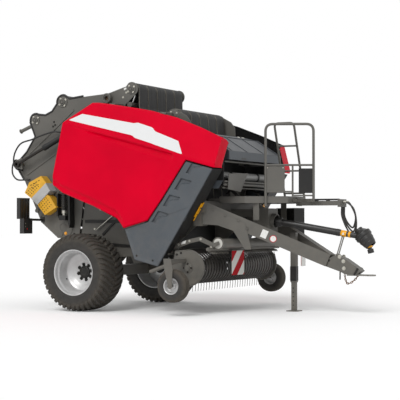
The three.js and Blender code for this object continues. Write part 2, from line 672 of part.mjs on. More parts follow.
const PANEL_OUTLINE = [
  [1599, 1935], [1980, 1834], [1197, 602], [844, 686], [700, 1078], [1046, 1174], [1256, 1448], [1432, 1700],
];
function frontPanel() {
  const outer = plateXZ(PANEL_OUTLINE, COVER_Y - PANEL_DEPTH, COVER_Y);
  const inner = plateXZ(inset(PANEL_OUTLINE, 12), COVER_Y - PANEL_DEPTH - 20, COVER_Y - 12);
  const steps = [0, 1, 2, 3].map((i) => {
    const x = 1110 + i * 165;
    const z = 1180 + i * 205;
    const tread = [[x, z], [x + 90, z + 128], [x + 230, z + 96], [x + 130, z - 38]];
    return plateXZ(tread, COVER_Y - 6, COVER_Y + 1);
  });
  const mount = [[1150, 1000], [1500, 1500]].map(([x, z]) => box(x, x + 60, CHAMBER_HALF + SIDE_PLATE + GAP,
    COVER_Y - 8, z, z + 40));
  return join(outer.subtract(inner), mount).subtract(join(steps));
}

{
  const shell = join(coverShell(), coverLugs());
  const right = new THREE.Group();
  const left = new THREE.Group();
  machine.add(right, left);
  add('left_side_cover', shell, 'red', left);
  add('right_side_cover', mirror(shell), 'red', right);
  const panel = frontPanel();
  add('left_front_panel', panel, 'panel');
  add('right_front_panel', mirror(panel), 'panel');
}

// ---------------------------------------------------------------- net box lid
{
  const half = 784;
  const outer = plateXZ([[1510, 2338], [1700, 2290], [2030, 2080], [2030, 1966], [1700, 1966], [1510, 2240]],
    -half, half);
  const inner = plateXZ([[1480, 2330], [1694, 2276], [2016, 2070], [2016, 1960], [1480, 1960]],
    -half + 12, half - 12);
  const slot = box(2012, 2040, -70, 70, 1990, 2020);
  const hinge = rodY(LID_HINGE[0], LID_HINGE[1], -half, half, 14, 12);
  const notches = LID_EARS.map((y) => box(1460, 1556, y - 8, y + 20, 2200, 2400));
  const lid = new THREE.Group();
  machine.add(lid);
  add('net_box_lid', outer.subtract(inner).subtract(slot).subtract(join(notches)).add(hinge), 'panel', lid);
}

// ---------------------------------------------------------------- tailgate
const REAR_TOP = [-579, 2816, 82];
const REAR_MID = [-1032, 2585, 72];
{
  const outline = [
    [90, 2740], [-50, 2180], [-236, 1500], [-312, 950], [-655, 951], [-933, 1169], [-1219, 1754],
    [-1310, 1884], [-1350, 1991], [-1181, 2148], [-1039, 2357], [-1125, 2560],
    ...arc(REAR_MID[0], REAR_MID[1], 90, 190, 60, 5),
    [-871, 2649], [-757, 2697], ...arc(REAR_TOP[0], REAR_TOP[1], 98, 190, 70, 5),
    [-467, 2860], ...arc(HINGE_X, HINGE_Z, 70, 120, -60, 8),
  ];
  const bore = rodY(HINGE_X, HINGE_Z, GATE_INNER - 5, GATE_OUTER + 60,
    boreR(HINGE_PIN_R, PIN_GAP, HINGE_SIDES), HINGE_SIDES);
  const boss = rodY(HINGE_X, HINGE_Z, GATE_INNER, GATE_OUTER + 24, 68);
  const eyePlate = [[-1190, 1900], [-1330, 1930], [-1300, 2030], [-1200, 2060]];
  const clevis = plateXZ(eyePlate, LIFT_Y - 34, LIFT_Y - 26)
    .add(rodY(-1250, 1975, GATE_OUTER - 4, LIFT_Y - 28, 30, 12));
  const side = plateXZ(outline, GATE_INNER, GATE_OUTER).add(boss).add(clevis).subtract(bore);
  const across = GATE_INNER + 4;
  const bars = [
    [...REAR_TOP], [...REAR_MID], [-1285, 1960, 34], [-600, 1010, 70], [-1000, 1330, 34],
  ].map(([x, z, r]) => join(
    rodY(x, z, -BELT_HALF - 20, BELT_HALF + 20, r, 16), rodY(x, z, -across, across, 26, 8),
  ));
  add('tailgate_frame', join(side, mirror(side), bars), 'frame', tailgate);

  const g = GAP + 1.4;
  const belts = strip([
    [-160, 2740],
    ...arc(REAR_TOP[0], REAR_TOP[1], REAR_TOP[2] + g + 0.4, 80, 215, 7),
    [-645, 2700], [-690, 2615], [-800, 2565],
    ...arc(REAR_MID[0], REAR_MID[1], REAR_MID[2] + g + 0.4, 63, 190, 6),
    [-1035, 2330], [-1100, 2150], [-1165, 1960], [-1160, 1800], [-1010, 1500], [-800, 1230], [-640, 1110],
  ].reverse(), BELT_T, -BELT_HALF, BELT_HALF);
  add('rear_belts', belts, 'belt', tailgate);
}

// Wheel chocks on the right of the tailgate, each held by one pocket of a flat strap.
{
  const y0 = GATE_OUTER;
  const y1 = y0 + 150;
  const strap = [[-993, 1494], [-750, 1704], [-678, 1598], [-892, 1407]];
  const holder = plateXZ(strap, y0 + GAP, y1 + 12)
    .subtract(plateXZ(inset(strap, 10), y0 + 12, y1 + 20));
  add('chock_holder', mirror(holder), 'bare', tailgate);
  const seam = 1.3 * GAP;
  add('upper_chock', mirror(plateXZ([[-1109, 1574], [-1032, 1716], [-839, 1803], [-750, 1704 + seam],
    [-993, 1494 + seam]], y0 + 6, y1)), 'yellow', tailgate);
  add('lower_chock', mirror(plateXZ([[-892, 1407 - seam], [-735, 1547 - seam], [-690, 1522], [-585, 1372],
    [-773, 1267]], y0 + 6, y1)), 'yellow', tailgate);
}

for (const side of ['right', 'left']) {
  const lamp = join(
    box(-1040, -985, 880, 1100, 1213, 1499), box(-1000, -930, 890, 1085, 1014, 1222),
    rod([-970, 900, 1205], [-905, GATE_OUTER + 10, 1200], 16, 8),
    box(-930, -880, GATE_OUTER + GAP, GATE_OUTER + 14, 1165, 1240),
  );
  add(`${side}_tail_light`, side === 'right' ? mirror(lamp) : lamp, 'black', tailgate);
}

// ---------------------------------------------------------------- tailgate cylinders
{
  const d = V(LIFT_EYE[0] - LIFT_BASE[0], 0, LIFT_EYE[1] - LIFT_BASE[1]);
  const reach = d.length();
  d.normalize();
  const on = (s) => [LIFT_BASE[0] + d.x * s, LIFT_Y, LIFT_BASE[1] + d.z * s];
  const eyeAt = ([x, z], r) => rodY(x, z, LIFT_Y - 20, LIFT_Y + 20, r, 20);
  const barrel = join(
    eyeAt(LIFT_BASE, 46), rod(on(20), on(85), 18, 12), rod(on(80), on(LIFT_BARREL_L), LIFT_BARREL_R, 16),
  ).subtract(rodY(LIFT_BASE[0], LIFT_BASE[1], LIFT_Y - 50, LIFT_Y + 50, boreR(24, PIN_GAP, 16)))
    .subtract(rod(on(110), on(LIFT_BARREL_L + 20), boreR(LIFT_ROD_R, PIN_GAP, 16), 16));
  const shaft = join(rod(on(reach - 900), on(reach - 20), LIFT_ROD_R, 16), eyeAt(LIFT_EYE, 44))
    .subtract(rodY(LIFT_EYE[0], LIFT_EYE[1], LIFT_Y - 30, LIFT_Y + 30, 20, 16));
  for (const side of ['right', 'left']) {
    const put = (m) => (side === 'right' ? mirror(m) : m);
    const group = new THREE.Group();
    machine.add(group);
    add(`${side}_cylinder_barrel`, put(barrel), 'black', group);
    add(`${side}_cylinder_rod`, put(shaft), 'bare', group);
  }
}

// ---------------------------------------------------------------- pick-up
{
  const [rx, rz] = REEL;
  const path = (r) => [
    [BAND_FOOT[0], BAND_FOOT[1] + BAND_R - r], ...arc(rx, rz, r, -108, 84, 7),
    [BAND_HEAD[0], BAND_HEAD[1] - BAND_R + r],
  ];
  const outline = path(BAND_R).concat(path(BAND_R - BAND_T).reverse());
  const pitch = (BAND_SPAN + TINE_GAP) / BAND_COUNT;
  const bands = Array.from({ length: BAND_COUNT }, (_, i) => {
    const y0 = -BAND_SPAN / 2 + i * pitch;
    return plateXZ(outline, y0, y0 + pitch - TINE_GAP);
  });
  const endPlate = plateXZ([
    ...arc(rx, rz, BAND_R + 22, -110, 84, 9), [1420, 800], [1400, 700], [1300, 600], [1250, 520], [1250, 450],
  ], PICKUP_END - END_T, PICKUP_END, [arc(rx, rz, boreR(24, PIN_GAP, 16), 0, -337.5, 15)]);
  const arm = plateXZ([
    ...arc(...PICKUP_PIVOT, 52, 70, 290, 6), [1300, 740], [1328, 770], [1328, 830], [1250, 868],
  ], CHAMBER_HALF + 40, CHAMBER_HALF + 56, [arc(...PICKUP_PIVOT, boreR(26, PIN_GAP, 16), 0, -337.5, 15)]);
  const fork = join(
    plateXZ([[1500, 720], [1600, 720], [1630, 600], ...arc(GAUGE[0], GAUGE[2], 34, 30, -210, 8), [1510, 600]],
      GAUGE[1] + GAUGE_W / 2 + 12, GAUGE[1] + GAUGE_W / 2 + 22),
    box(1515, 1575, PICKUP_END - 4, GAUGE[1] + GAUGE_W / 2 + 18, 660, 710),
    rod([1130, 1225, 540], [1540, 1225, 684], 24, 12),
    rodY(GAUGE[0], GAUGE[2], GAUGE[1] - GAUGE_W / 2 + 10, GAUGE[1] + GAUGE_W / 2 + 20, 14, 16),
  );
  const guardPin = rodY(GUARD_PIVOT[0], GUARD_PIVOT[1], GUARD_ARM_Y - 16, GUARD_ARM_Y + 26, 14, 16)
    .add(plateXZ([[1300, 815], [1385, 815], [1375, 884], [1315, 884]], GUARD_ARM_Y - 26, GUARD_ARM_Y - 12));
  const side = join(endPlate, arm, fork, guardPin);
  const half = PICKUP_END - 4;
  const upper = GUARD_ARM_Y - 12;
  // The outermost bands end short of the front panels, also with the pick-up raised.
  const nearPanel = [0, PICKUP_LIFT].map((turn) => {
    const lean = PANEL_LEAN - turn;
    const n = [Math.cos(lean), 0, Math.sin(lean)];
    return beyond([PICKUP_PIVOT[0] + n[0] * PANEL_FREE, 0, PICKUP_PIVOT[1] + n[2] * PANEL_FREE],
      [-n[0], 0, -n[2]]);
  });
  const cut = join(nearPanel).intersect(box(1000, 2000, COVER_Y - PANEL_DEPTH - 15, COVER_Y + 10, 300, 1100));
  add('pickup_frame', join(
    side, mirror(side), join(bands).subtract(cut).subtract(mirror(cut)),
    box(1298, 1328, -upper, upper, 775, 825), box(1262, 1290, -half, half, 462, 510),
  ), 'frame', pickup);

  const bars = [0, 1, 2].map((k) => {
    const a = (k * TAU) / 3 + 0.6;
    const ux = Math.cos(a);
    const uz = Math.sin(a);
    const bar = rodY(rx + 140 * ux, rz + 140 * uz, -BAND_SPAN / 2 + 10, BAND_SPAN / 2 - 10, 16, 6);
    const tines = Array.from({ length: BAND_COUNT - 1 }, (_, i) => {
      const y = -BAND_SPAN / 2 + (i + 1) * pitch - TINE_GAP / 2;
      return beam([rx + 132 * ux, y, rz + 132 * uz], [rx + TINE_R * ux, y, rz + TINE_R * uz], 8, 8);
    });
    return join(bar, tines);
  });
  const spiders = [-0.94, -0.31, 0.31, 0.94].map((f) => {
    const y = (f * BAND_SPAN) / 2;
    return rodY(rx, rz, y - 5, y + 5, 158, 12);
  });
  add('pickup_reel', join(bars, spiders,
    rodY(rx, rz, -PICKUP_END, PICKUP_END, 24, 16)), 'frame', pickup);
}

// Windguard: two arms, a tube and the crop roller.
{
  const [px, pz] = GUARD_PIVOT;
  const arm = plateXZ([
    ...arc(px, pz, 34, 100, 280, 6), [1560, 900], [1700, 930], [1900, 850], [1985, 885], [1975, 930],
    [1905, 905], [1720, 985], [1560, 955],
  ], GUARD_ARM_Y, GUARD_ARM_Y + 12, [arc(px, pz, boreR(14, PIN_GAP, 16), 0, -337.5, 15)]);
  const link = box(1850, 1892, GUARD_ARM_Y - 6, GUARD_ARM_Y + 18, 812, 880);
  const pin = rodY(CROP_ROLLER[0], CROP_ROLLER[1], ROLLER_HALF - 80, GUARD_ARM_Y + 10, 12, 16);
  const side = join(arm, link, pin);
  add('windguard', join(side, mirror(side),
    rodY(GUARD_TUBE[0], GUARD_TUBE[1], -PICKUP_END + 20, PICKUP_END - 20, 24, 16),
    box(1862, 1930, -503, -150, 800, 812), box(1926, 1932, -503, -150, 486, 812)), 'frame', pickup);
  const [cx, cz] = CROP_ROLLER;
  const seat = rodY(cx, cz, ROLLER_HALF - 90, ROLLER_HALF + 10, boreR(12, PIN_GAP, 16), 16);
  const ring = rodY(cx, cz, ROLLER_HALF - 20, ROLLER_HALF, 80, 20);
  add('crop_roller', join(rodY(cx, cz, -ROLLER_HALF, ROLLER_HALF, 60, 20), ring, mirror(ring))
    .subtract(seat).subtract(mirror(seat)), 'silver', pickup);
}

for (const side of ['right', 'left']) {
  const s = side === 'left' ? 1 : -1;
  const h = GAUGE_W / 2;
  const wheel = new THREE.Group();
  wheel.position.set(GAUGE[0], s * GAUGE[1], GAUGE[2]);
  pickup.add(wheel);
  add(`${side}_gauge_wheel`, turned([
    [boreR(14, PIN_GAP, 20), -32], [40, -32], [40, -10], [104, -10], [116, -h + 8],
    [GAUGE_R - 22, -h], [GAUGE_R, -h + 26], [GAUGE_R, h - 26], [GAUGE_R - 22, h], [116, h - 8],
    [104, 10], [40, 10], [40, 32], [boreR(14, PIN_GAP, 20), 32], [boreR(14, PIN_GAP, 20), -32],
  ], 20), 'tyre', wheel);
}

// ---------------------------------------------------------------- origin
const bounds = new THREE.Box3().setFromObject(machine);
const centre = bounds.getCenter(V(0, 0, 0));

// ---------------------------------------------------------------- hoses
const FRONT_HOSE_R = 11;
const REAR_HOSE_R = 11;
const cords = new THREE.Group();
machine.add(cords);

const FRONT_HOSES = [
  [120, 985, 3392], [165, 1040, 3372], [210, 1090, 3348],  // y, lowest z and most forward x of each loop
];
FRONT_HOSES.forEach(([y, low, front], i) => {
  const end = ARM_FRONT + GAP;
  add(`front_hose_${i + 1}`, hose([
    [end, y, 1430], [end + 35, y, 1430], [front - 40, y + 6, 1350], [front, y + 12, low + 140],
    [front - 40, y + 14, low + 10], [front - 100, y + 10, low + 60], [ARM_FRONT - 16, y + 2, 1250],
    [ARM_FRONT - 17, y, ARM_UNDER - GAP],
  ], FRONT_HOSE_R, 16), 'black', cords);
});
const HOSE_Y = -GATE_OUTER - GAP;
add('rear_hose_1', hose([
  [-600, HOSE_Y, 2400], [-600, HOSE_Y - 26, 2400], [-680, HOSE_Y - 50, 2412], [-860, -762, 2366],
  [-1033, -762, 2312], [-1236, -752, 2256], [-1347, -742, 2106], [-1350, -740, 1966], [-1300, -732, 1905],
  [-1262, -706, 1894], [-1255, HOSE_Y - 18, 1893], [-1255, HOSE_Y, 1893],
], REAR_HOSE_R, 22), 'black', cords);
add('rear_hose_2', hose([
  [-1300, HOSE_Y, 2005], [-1300, HOSE_Y - 20, 2005], [-1310, -700, 2024], [-1350, -706, 2036],
  [-1394, -712, 1967], [-1388, -720, 1841], [-1303, -730, 1763], [-1190, -724, 1756],
  [-1140, -704, 1758], [-1130, HOSE_Y - 18, 1758], [-1130, HOSE_Y, 1758],
], REAR_HOSE_R, 20), 'black', cords);

machine.position.set(-centre.x, -centre.y, -bounds.min.z);

export default machine;
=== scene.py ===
"""Round baler, parked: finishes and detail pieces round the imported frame.

Lengths in the shape functions are millimetres in the machine's own axes: x from the main axle
towards the hitch, y to the left, z up from the ground. `placed` turns them into the frame's metres.
"""
import math

import bmesh
import bpy
import numpy as np
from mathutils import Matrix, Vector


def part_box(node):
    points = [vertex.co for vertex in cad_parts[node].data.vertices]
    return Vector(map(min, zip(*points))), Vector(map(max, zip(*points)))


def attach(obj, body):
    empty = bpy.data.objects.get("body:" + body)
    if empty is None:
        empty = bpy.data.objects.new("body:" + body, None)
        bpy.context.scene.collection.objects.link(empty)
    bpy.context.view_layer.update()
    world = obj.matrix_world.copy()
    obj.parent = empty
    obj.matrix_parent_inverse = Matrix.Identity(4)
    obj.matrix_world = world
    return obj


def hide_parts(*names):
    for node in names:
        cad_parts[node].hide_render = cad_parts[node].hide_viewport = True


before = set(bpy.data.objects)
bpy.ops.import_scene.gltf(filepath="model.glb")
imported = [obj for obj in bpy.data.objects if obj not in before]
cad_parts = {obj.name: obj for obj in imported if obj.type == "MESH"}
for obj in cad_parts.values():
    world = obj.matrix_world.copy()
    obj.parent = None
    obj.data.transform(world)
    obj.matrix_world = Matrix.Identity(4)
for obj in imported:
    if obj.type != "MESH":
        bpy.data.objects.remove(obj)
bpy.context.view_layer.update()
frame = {"nodes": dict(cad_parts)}

bl_info = {
    "name": "Round baler",
    "version": (1, 0, 0),
    "blender": (4, 5, 0),
    "location": "3D View > Sidebar > Baler",
    "description": "Builds the finishes and detail pieces of a towed round baler",
    "category": "Add Mesh",
}

MM = 0.001
_low, _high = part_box("right_rim")
AXLE_X = (_low[0] + _high[0]) / 2        # the main axle in the frame, metres
TAU = 2 * math.pi


# ------------------------------------------------------------------ small helpers
def linear(hex_colour):
    """sRGB hex colour as linear red, green and blue."""
    srgb = [int(hex_colour[i:i + 2], 16) / 255 for i in (1, 3, 5)]
    return tuple(c / 12.92 if c <= 0.04045 else ((c + 0.055) / 1.055) ** 2.4 for c in srgb)


def placed(points):
    """Machine millimetres to the frame's metres."""
    return np.asarray(points, dtype=float) * MM + np.array([AXLE_X, 0.0, 0.0])


def unit(v):
    """Vectors at length one."""
    v = np.asarray(v, dtype=float)
    return v / np.maximum(np.linalg.norm(v, axis=-1, keepdims=True), 1e-9)


def smooth(a, b, t):
    """Smooth rise from 0 at a to 1 at b."""
    s = np.clip((np.asarray(t, dtype=float) - a) / (b - a), 0, 1)
    return s * s * (3 - 2 * s)


def grid_faces(rows, cols, wrap_rows=False, wrap_cols=False, start=0):
    """Quads of a grid of rows x cols points, joined round where it wraps."""
    i = np.arange(rows if wrap_rows else rows - 1)[:, None]
    j = np.arange(cols if wrap_cols else cols - 1)[None, :]
    i1, j1 = (i + 1) % rows, (j + 1) % cols
    quads = np.stack([i * cols + j, i1 * cols + j, i1 * cols + j1, i * cols + j1], axis=-1)
    return (quads.reshape(-1, 4) + start).tolist()


def joined(*shapes):
    """Several (points, faces) shapes as one."""
    points, faces, start = [], [], 0
    for p, f in shapes:
        points.append(np.asarray(p, dtype=float))
        faces.extend([[k + start for k in face] for face in f])
        start += len(p)
    return np.concatenate(points), faces


def copies(shape, offsets):
    """One shape repeated at each offset: every point of it plus every offset."""
    points, faces = shape
    offsets = np.asarray(offsets, dtype=float)
    all_points = (points[None, :, :] + offsets[:, None, :]).reshape(-1, 3)
    all_faces = [[k + n * len(points) for k in f] for n in range(len(offsets)) for f in faces]
    return all_points, all_faces


def turned_to(shape, origin, axis, up=(0, 0, 1)):
    """A shape made about its own z axis, laid with z along axis and moved to origin."""
    points, faces = shape
    z = unit(axis)
    guide = np.asarray(up, dtype=float)
    if abs(float(np.dot(guide, z))) > 0.95:
        guide = np.array([1.0, 0.0, 0.0])
    x = unit(np.cross(guide, z))
    y = np.cross(z, x)
    return points @ np.array([x, y, z]) + np.asarray(origin, dtype=float), faces


def mirrored(shape):
    """The other-hand shape: y changes sign and each face turns round."""
    points, faces = shape
    return points * np.array([1, -1, 1]), [f[::-1] for f in faces]


def both(shape):
    """A left-hand shape and its mirror image as one."""
    return joined(shape, mirrored(shape))


# Each side, and what makes its shape of a left-hand one.
SIDES = (("left", joined), ("right", mirrored))


def lathe(profile, sides, centre=(0, 0, 0), closed=True):
    """Surface turned about the y axis through centre: x = r cos a, z = r sin a for each (r, y).
    A closed profile makes a ring; an open one starts and ends on the axis."""
    profile = np.asarray(profile, dtype=float)
    a = np.arange(sides) * TAU / sides
    r, y = profile[:, 0], profile[:, 1]
    points = np.stack([np.outer(np.cos(a), r), np.broadcast_to(y, (sides, len(y))),
                       np.outer(np.sin(a), r)], axis=-1).reshape(-1, 3) + np.asarray(centre, dtype=float)
    faces = grid_faces(sides, len(profile), wrap_rows=True, wrap_cols=closed)
    turn = np.roll(profile, -1, axis=0)
    if np.sum(r * turn[:, 1] - turn[:, 0] * y) > 0:
        faces = [f[::-1] for f in faces]
    return points, faces


def disc_lathe(profile, sides, centre=(0, 0, 0)):
    """Turned solid whose (r, y) profile starts and ends with r = 0; each pole is one point."""
    profile = np.asarray(profile, dtype=float)
    a = np.arange(sides) * TAU / sides
    r, y = profile[1:-1, 0], profile[1:-1, 1]
    ring = np.stack([np.outer(np.cos(a), r), np.broadcast_to(y, (sides, len(y))),
                     np.outer(np.sin(a), r)], axis=-1).reshape(-1, 3)
    faces = grid_faces(sides, len(r), wrap_rows=True)
    cols = len(r)
    first, last = len(ring), len(ring) + 1
    k = np.arange(sides)
    k1 = (k + 1) % sides
    faces += np.stack([np.full(sides, first), k1 * cols, k * cols], axis=-1).tolist()
    faces += np.stack([np.full(sides, last), k * cols + cols - 1, k1 * cols + cols - 1], axis=-1).tolist()
    turn = np.roll(profile, -1, axis=0)
    if np.sum(profile[:, 0] * turn[:, 1] - turn[:, 0] * profile[:, 1]) > 0:
        faces = [f[::-1] for f in faces]
    poles = np.array([[0, profile[0, 1], 0], [0, profile[-1, 1], 0]])
    return np.concatenate([ring, poles]) + np.asarray(centre, dtype=float), faces


def tube(path, radius, sides=12, wrap=False):
    """Round bar along a path: each path point carries a circle square to the path there.
    The circle's first axis is square to the path and to the path's own plane normal."""
    path = np.asarray(path, dtype=float)
    if wrap:
        tangent = unit(np.roll(path, -1, axis=0) - np.roll(path, 1, axis=0))
    else:
        tangent = unit(np.gradient(path, axis=0))
    spread = np.linalg.svd(path - path.mean(axis=0))[2][-1]
    if np.abs(tangent @ spread).max() > 0.9:
        spread = np.eye(3)[int(np.argmin(np.abs(tangent).max(axis=0)))]
    side = unit(np.cross(tangent, spread))
    other = np.cross(tangent, side)
    a = np.arange(sides) * TAU / sides
    radius = np.broadcast_to(np.asarray(radius, dtype=float), (len(path),))
    ring = np.cos(a)[None, :, None] * side[:, None, :] + np.sin(a)[None, :, None] * other[:, None, :]
    points = (path[:, None, :] + radius[:, None, None] * ring).reshape(-1, 3)
    faces = [f[::-1] for f in grid_faces(len(path), sides, wrap_rows=wrap, wrap_cols=True)]
    if not wrap:
        faces.append(list(range(sides))[::-1])
        faces.append(list(range((len(path) - 1) * sides, len(path) * sides)))
    return points, faces


def bar(a, b, radius, sides=12):
    """Straight round bar from a to b with small rounded rims at its ends."""
    a, b = np.asarray(a, dtype=float), np.asarray(b, dtype=float)
    length = np.linalg.norm(b - a)
    edge = min(2.0, 0.2 * radius, 0.3 * length)
    t = np.array([0, edge, length - edge, length]) / length
    return tube(a + np.outer(t, b - a), np.array([radius - edge, radius, radius, radius - edge]), sides)


def plate(outline, y0, y1, plane="xz"):
    """Flat plate: a closed outline of two coordinates, carried from y0 to y1 along the third."""
    outline = np.asarray(outline, dtype=float)
    n = len(outline)
    y0, y1 = min(y0, y1), max(y0, y1)
    order = {"xz": (0, 2, 1), "xy": (0, 1, 2), "yz": (1, 2, 0)}[plane]
    points = np.zeros((2 * n, 3))
    points[:, order[0]] = np.tile(outline[:, 0], 2)
    points[:, order[1]] = np.tile(outline[:, 1], 2)
    points[:, order[2]] = np.repeat([y0, y1], n)
    turn = np.roll(outline, -1, axis=0)
    area = np.sum(outline[:, 0] * turn[:, 1] - turn[:, 0] * outline[:, 1])
    near, far = list(range(n)), list(range(n, 2 * n))
    k = np.arange(n)
    k1 = (k + 1) % n
    walls = np.stack([k, k1, k1 + n, k + n], axis=-1).tolist()
    forward = (area > 0) == (plane != "xz")
    if forward:
        faces = [near[::-1], far] + walls
    else:
        faces = [near, far[::-1]] + [w[::-1] for w in walls]
    return points, faces


def block(x0, x1, y0, y1, z0, z1):
    """Square-edged block between two corners."""
    return plate([(x0, z0), (x1, z0), (x1, z1), (x0, z1)], y0, y1)


def beam(a, b, width, height):
    """Square bar from a to b with its height kept upright."""
    a, b = np.asarray(a, dtype=float), np.asarray(b, dtype=float)
    length = np.linalg.norm(b - a)
    x = unit(b - a)
    y = unit(np.cross([0, 0, 1.0], x))
    z = np.cross(x, y)
    points, faces = block(0, length, -width / 2, width / 2, -height / 2, height / 2)
    return points @ np.array([x, y, z]) + a, faces


def arc(cx, cz, r, start, end, n):
    """Points on a circle, degrees from +x towards +z."""
    a = np.radians(np.linspace(start, end, n + 1))
    return np.stack([cx + r * np.cos(a), cz + r * np.sin(a)], axis=-1)


def rounded_path(points, bend, steps=8):
    """Polyline with each inner corner replaced by a quadratic curve that starts `bend` before it."""
    points = np.asarray(points, dtype=float)
    out = [points[:1]]
    t = np.linspace(0, 1, steps + 1)[:, None]
    for before, corner, after in zip(points[:-2], points[1:-1], points[2:]):
        start = corner + unit(before - corner) * bend
        end = corner + unit(after - corner) * bend
        out.append((1 - t) ** 2 * start + 2 * t * (1 - t) * corner + t ** 2 * end)
    out.append(points[-1:])
    return np.concatenate(out)


def catmull(points, count):
    """Smooth curve through points: centripetal Catmull-Rom, the same rule as the frame's hoses."""
    p = np.asarray(points, dtype=float)
    ends = np.concatenate([[2 * p[0] - p[1]], p, [2 * p[-1] - p[-2]]])
    u = np.linspace(0, len(p) - 1, count)
    i = np.minimum(u.astype(int), len(p) - 2)
    w = (u - i)[:, None]
    p0, p1, p2, p3 = ends[i], ends[i + 1], ends[i + 2], ends[i + 3]

    def root(a, b):
        return np.maximum(np.sum((b - a) ** 2, axis=1, keepdims=True) ** 0.25, 1e-6)

    d0, d1, d2 = root(p0, p1), root(p1, p2), root(p2, p3)
    m1 = ((p1 - p0) / d0 - (p2 - p0) / (d0 + d1) + (p2 - p1) / d1) * d1
    m2 = ((p2 - p1) / d1 - (p3 - p1) / (d1 + d2) + (p3 - p2) / d2) * d1
    return ((2 * w ** 3 - 3 * w ** 2 + 1) * p1 + (w ** 3 - 2 * w ** 2 + w) * m1
            + (3 * w ** 2 - 2 * w ** 3) * p2 + (w ** 3 - w ** 2) * m2)


def hex_bolt(size=18, height=11):
    """Bolt head on its washer, about z: a low disc and a six-sided prism with a rounded top."""
    a = np.arange(6) * TAU / 6
    levels = [(size * 0.62, 2.5), (size * 0.62, height * 0.8), (size * 0.5, height)]
    head = np.concatenate([np.stack([r * np.cos(a), r * np.sin(a), np.full(6, z)], axis=-1)
                           for r, z in levels])
    head_faces = grid_faces(3, 6, wrap_cols=True)
    head_shape = head, [f[::-1] for f in head_faces] + [list(range(6))[::-1], list(range(12, 18))]
    return joined(tube([(0, 0, 0), (0, 0, 2.5)], size * 0.85, 12), head_shape)


def bolts(places, axis, size=18, height=11):
    """Bolt heads at places, their heads pointing along axis."""
    head = turned_to(hex_bolt(size, height), (0, 0, 0), axis)
    return copies(head, np.asarray(places, dtype=float))


def piece(name, shape, coat, body="chassis", bevel=0.0, shade=True, replaces=(), flat_over=40,
          inner=None, inner_from=0):
    """Mesh object from (points, faces) in machine millimetres, in the finish `coat`, riding on a body of
    the frame. Faces from number inner_from on take the finish `inner`, when one is given."""
    points, faces = shape
    mesh = bpy.data.meshes.new(name)
    mesh.from_pydata(placed(points).tolist(), [], faces)
    mesh.validate()
    solid = bmesh.new()
    solid.from_mesh(mesh)
    bmesh.ops.recalc_face_normals(solid, faces=solid.faces)
    solid.to_mesh(mesh)
    solid.free()
    mesh.materials.append(finish(coat))
    if inner:
        mesh.materials.append(finish(inner))
        number = np.zeros(len(mesh.polygons), dtype=np.int32)
        number[inner_from:] = 1
        mesh.polygons.foreach_set("material_index", number)
    obj = bpy.data.objects.new(name, mesh)
    bpy.context.scene.collection.objects.link(obj)
    if shade:
        mesh.shade_smooth()
        mesh.set_sharp_from_angle(angle=math.radians(flat_over))
    if bevel:
        mod = obj.modifiers.new("edge", "BEVEL")
        mod.width, mod.segments = bevel * MM, 2
        mod.limit_method, mod.angle_limit = "ANGLE", math.radians(35)
        mod.harden_normals = True
    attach(obj, body)
    if replaces:
        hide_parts(*replaces)
    return obj


# ------------------------------------------------------------------ finishes
def feed(tree, node, inputs):
    """Give a node its inputs: each socket takes a value or another node's output."""
    for socket, value in inputs.items():
        if isinstance(value, bpy.types.NodeSocket):
            tree.links.new(value, node.inputs[socket])
        else:
            node.inputs[socket].default_value = value


def add_node(tree, kind, inputs=None, **settings):
    """Add one shader node with its settings and inputs."""
    node = tree.nodes.new(kind)
    for key, value in settings.items():
        setattr(node, key, value)
    feed(tree, node, inputs or {})
    return node


def new_finish(name):
    """Empty material with its tree, its shader and its object coordinates."""
    material = bpy.data.materials.new(name)
    material.use_nodes = True
    tree = material.node_tree
    shader = tree.nodes["Principled BSDF"]
    place = add_node(tree, "ShaderNodeTexCoord").outputs["Object"]
    return material, tree, shader, place


def noise(tree, place, scale, detail=2.0, rough=0.5):
    """Noise from 0 to 1, `scale` cells to the metre."""
    return add_node(tree, "ShaderNodeTexNoise", {"Vector": place, "Scale": scale, "Detail": detail,
                                                 "Roughness": rough}).outputs["Fac"]


def wave(tree, place, direction):
    """Sine bands about 6 mm apart along one axis."""
    return add_node(tree, "ShaderNodeTexWave", {"Vector": place, "Scale": 26.0},
                    bands_direction=direction).outputs["Fac"]


def laid(tree, place, **changes):
    """Coordinates turned or stretched."""
    return add_node(tree, "ShaderNodeMapping", {"Vector": place, **changes}).outputs["Vector"]


def calc(tree, operation, a, b=0.0):
    """One sum on two values."""
    return add_node(tree, "ShaderNodeMath", {0: a, 1: b}, operation=operation).outputs[0]


def remap(tree, value, low, high, top=1.0):
    """A value from 0 to top carried to low to high."""
    return add_node(tree, "ShaderNodeMapRange", {"Value": value, "From Max": top, "To Min": low,
                                                 "To Max": high}).outputs["Result"]


def blend(tree, factor, a, b, how="MIX"):
    """Two colours mixed by a factor."""
    return add_node(tree, "ShaderNodeMix", {"Factor": factor, "A": a, "B": b}, data_type="RGBA",
                    blend_type=how).outputs["Result"]


def bump(tree, height, strength, distance):
    """Normal of a height field, `distance` metres deep."""
    return add_node(tree, "ShaderNodeBump", {"Height": height, "Strength": strength,
                                             "Distance": distance}).outputs["Normal"]


def ramp(tree, factor, stops, interpolation="LINEAR"):
    """Colour for a factor by stops of (position, linear colour or grey level)."""
    node = add_node(tree, "ShaderNodeValToRGB", {"Fac": factor})
    node.color_ramp.interpolation = interpolation
    elements = node.color_ramp.elements
    while len(elements) < len(stops):
        elements.new(0.5)
    for element, (position, value) in zip(elements, stops):
        element.position = position
        rgb = (value,) * 3 if isinstance(value, (int, float)) else tuple(value)
        element.color = (*rgb, 1)
    return node.outputs["Color"]


def shade_of(colour, factor):
    """A linear colour made lighter or darker."""
    return tuple(min(1.0, c * factor) for c in colour)


DUST = (*linear("#8C8272"), 1)
SOIL = (*linear("#544C40"), 1)


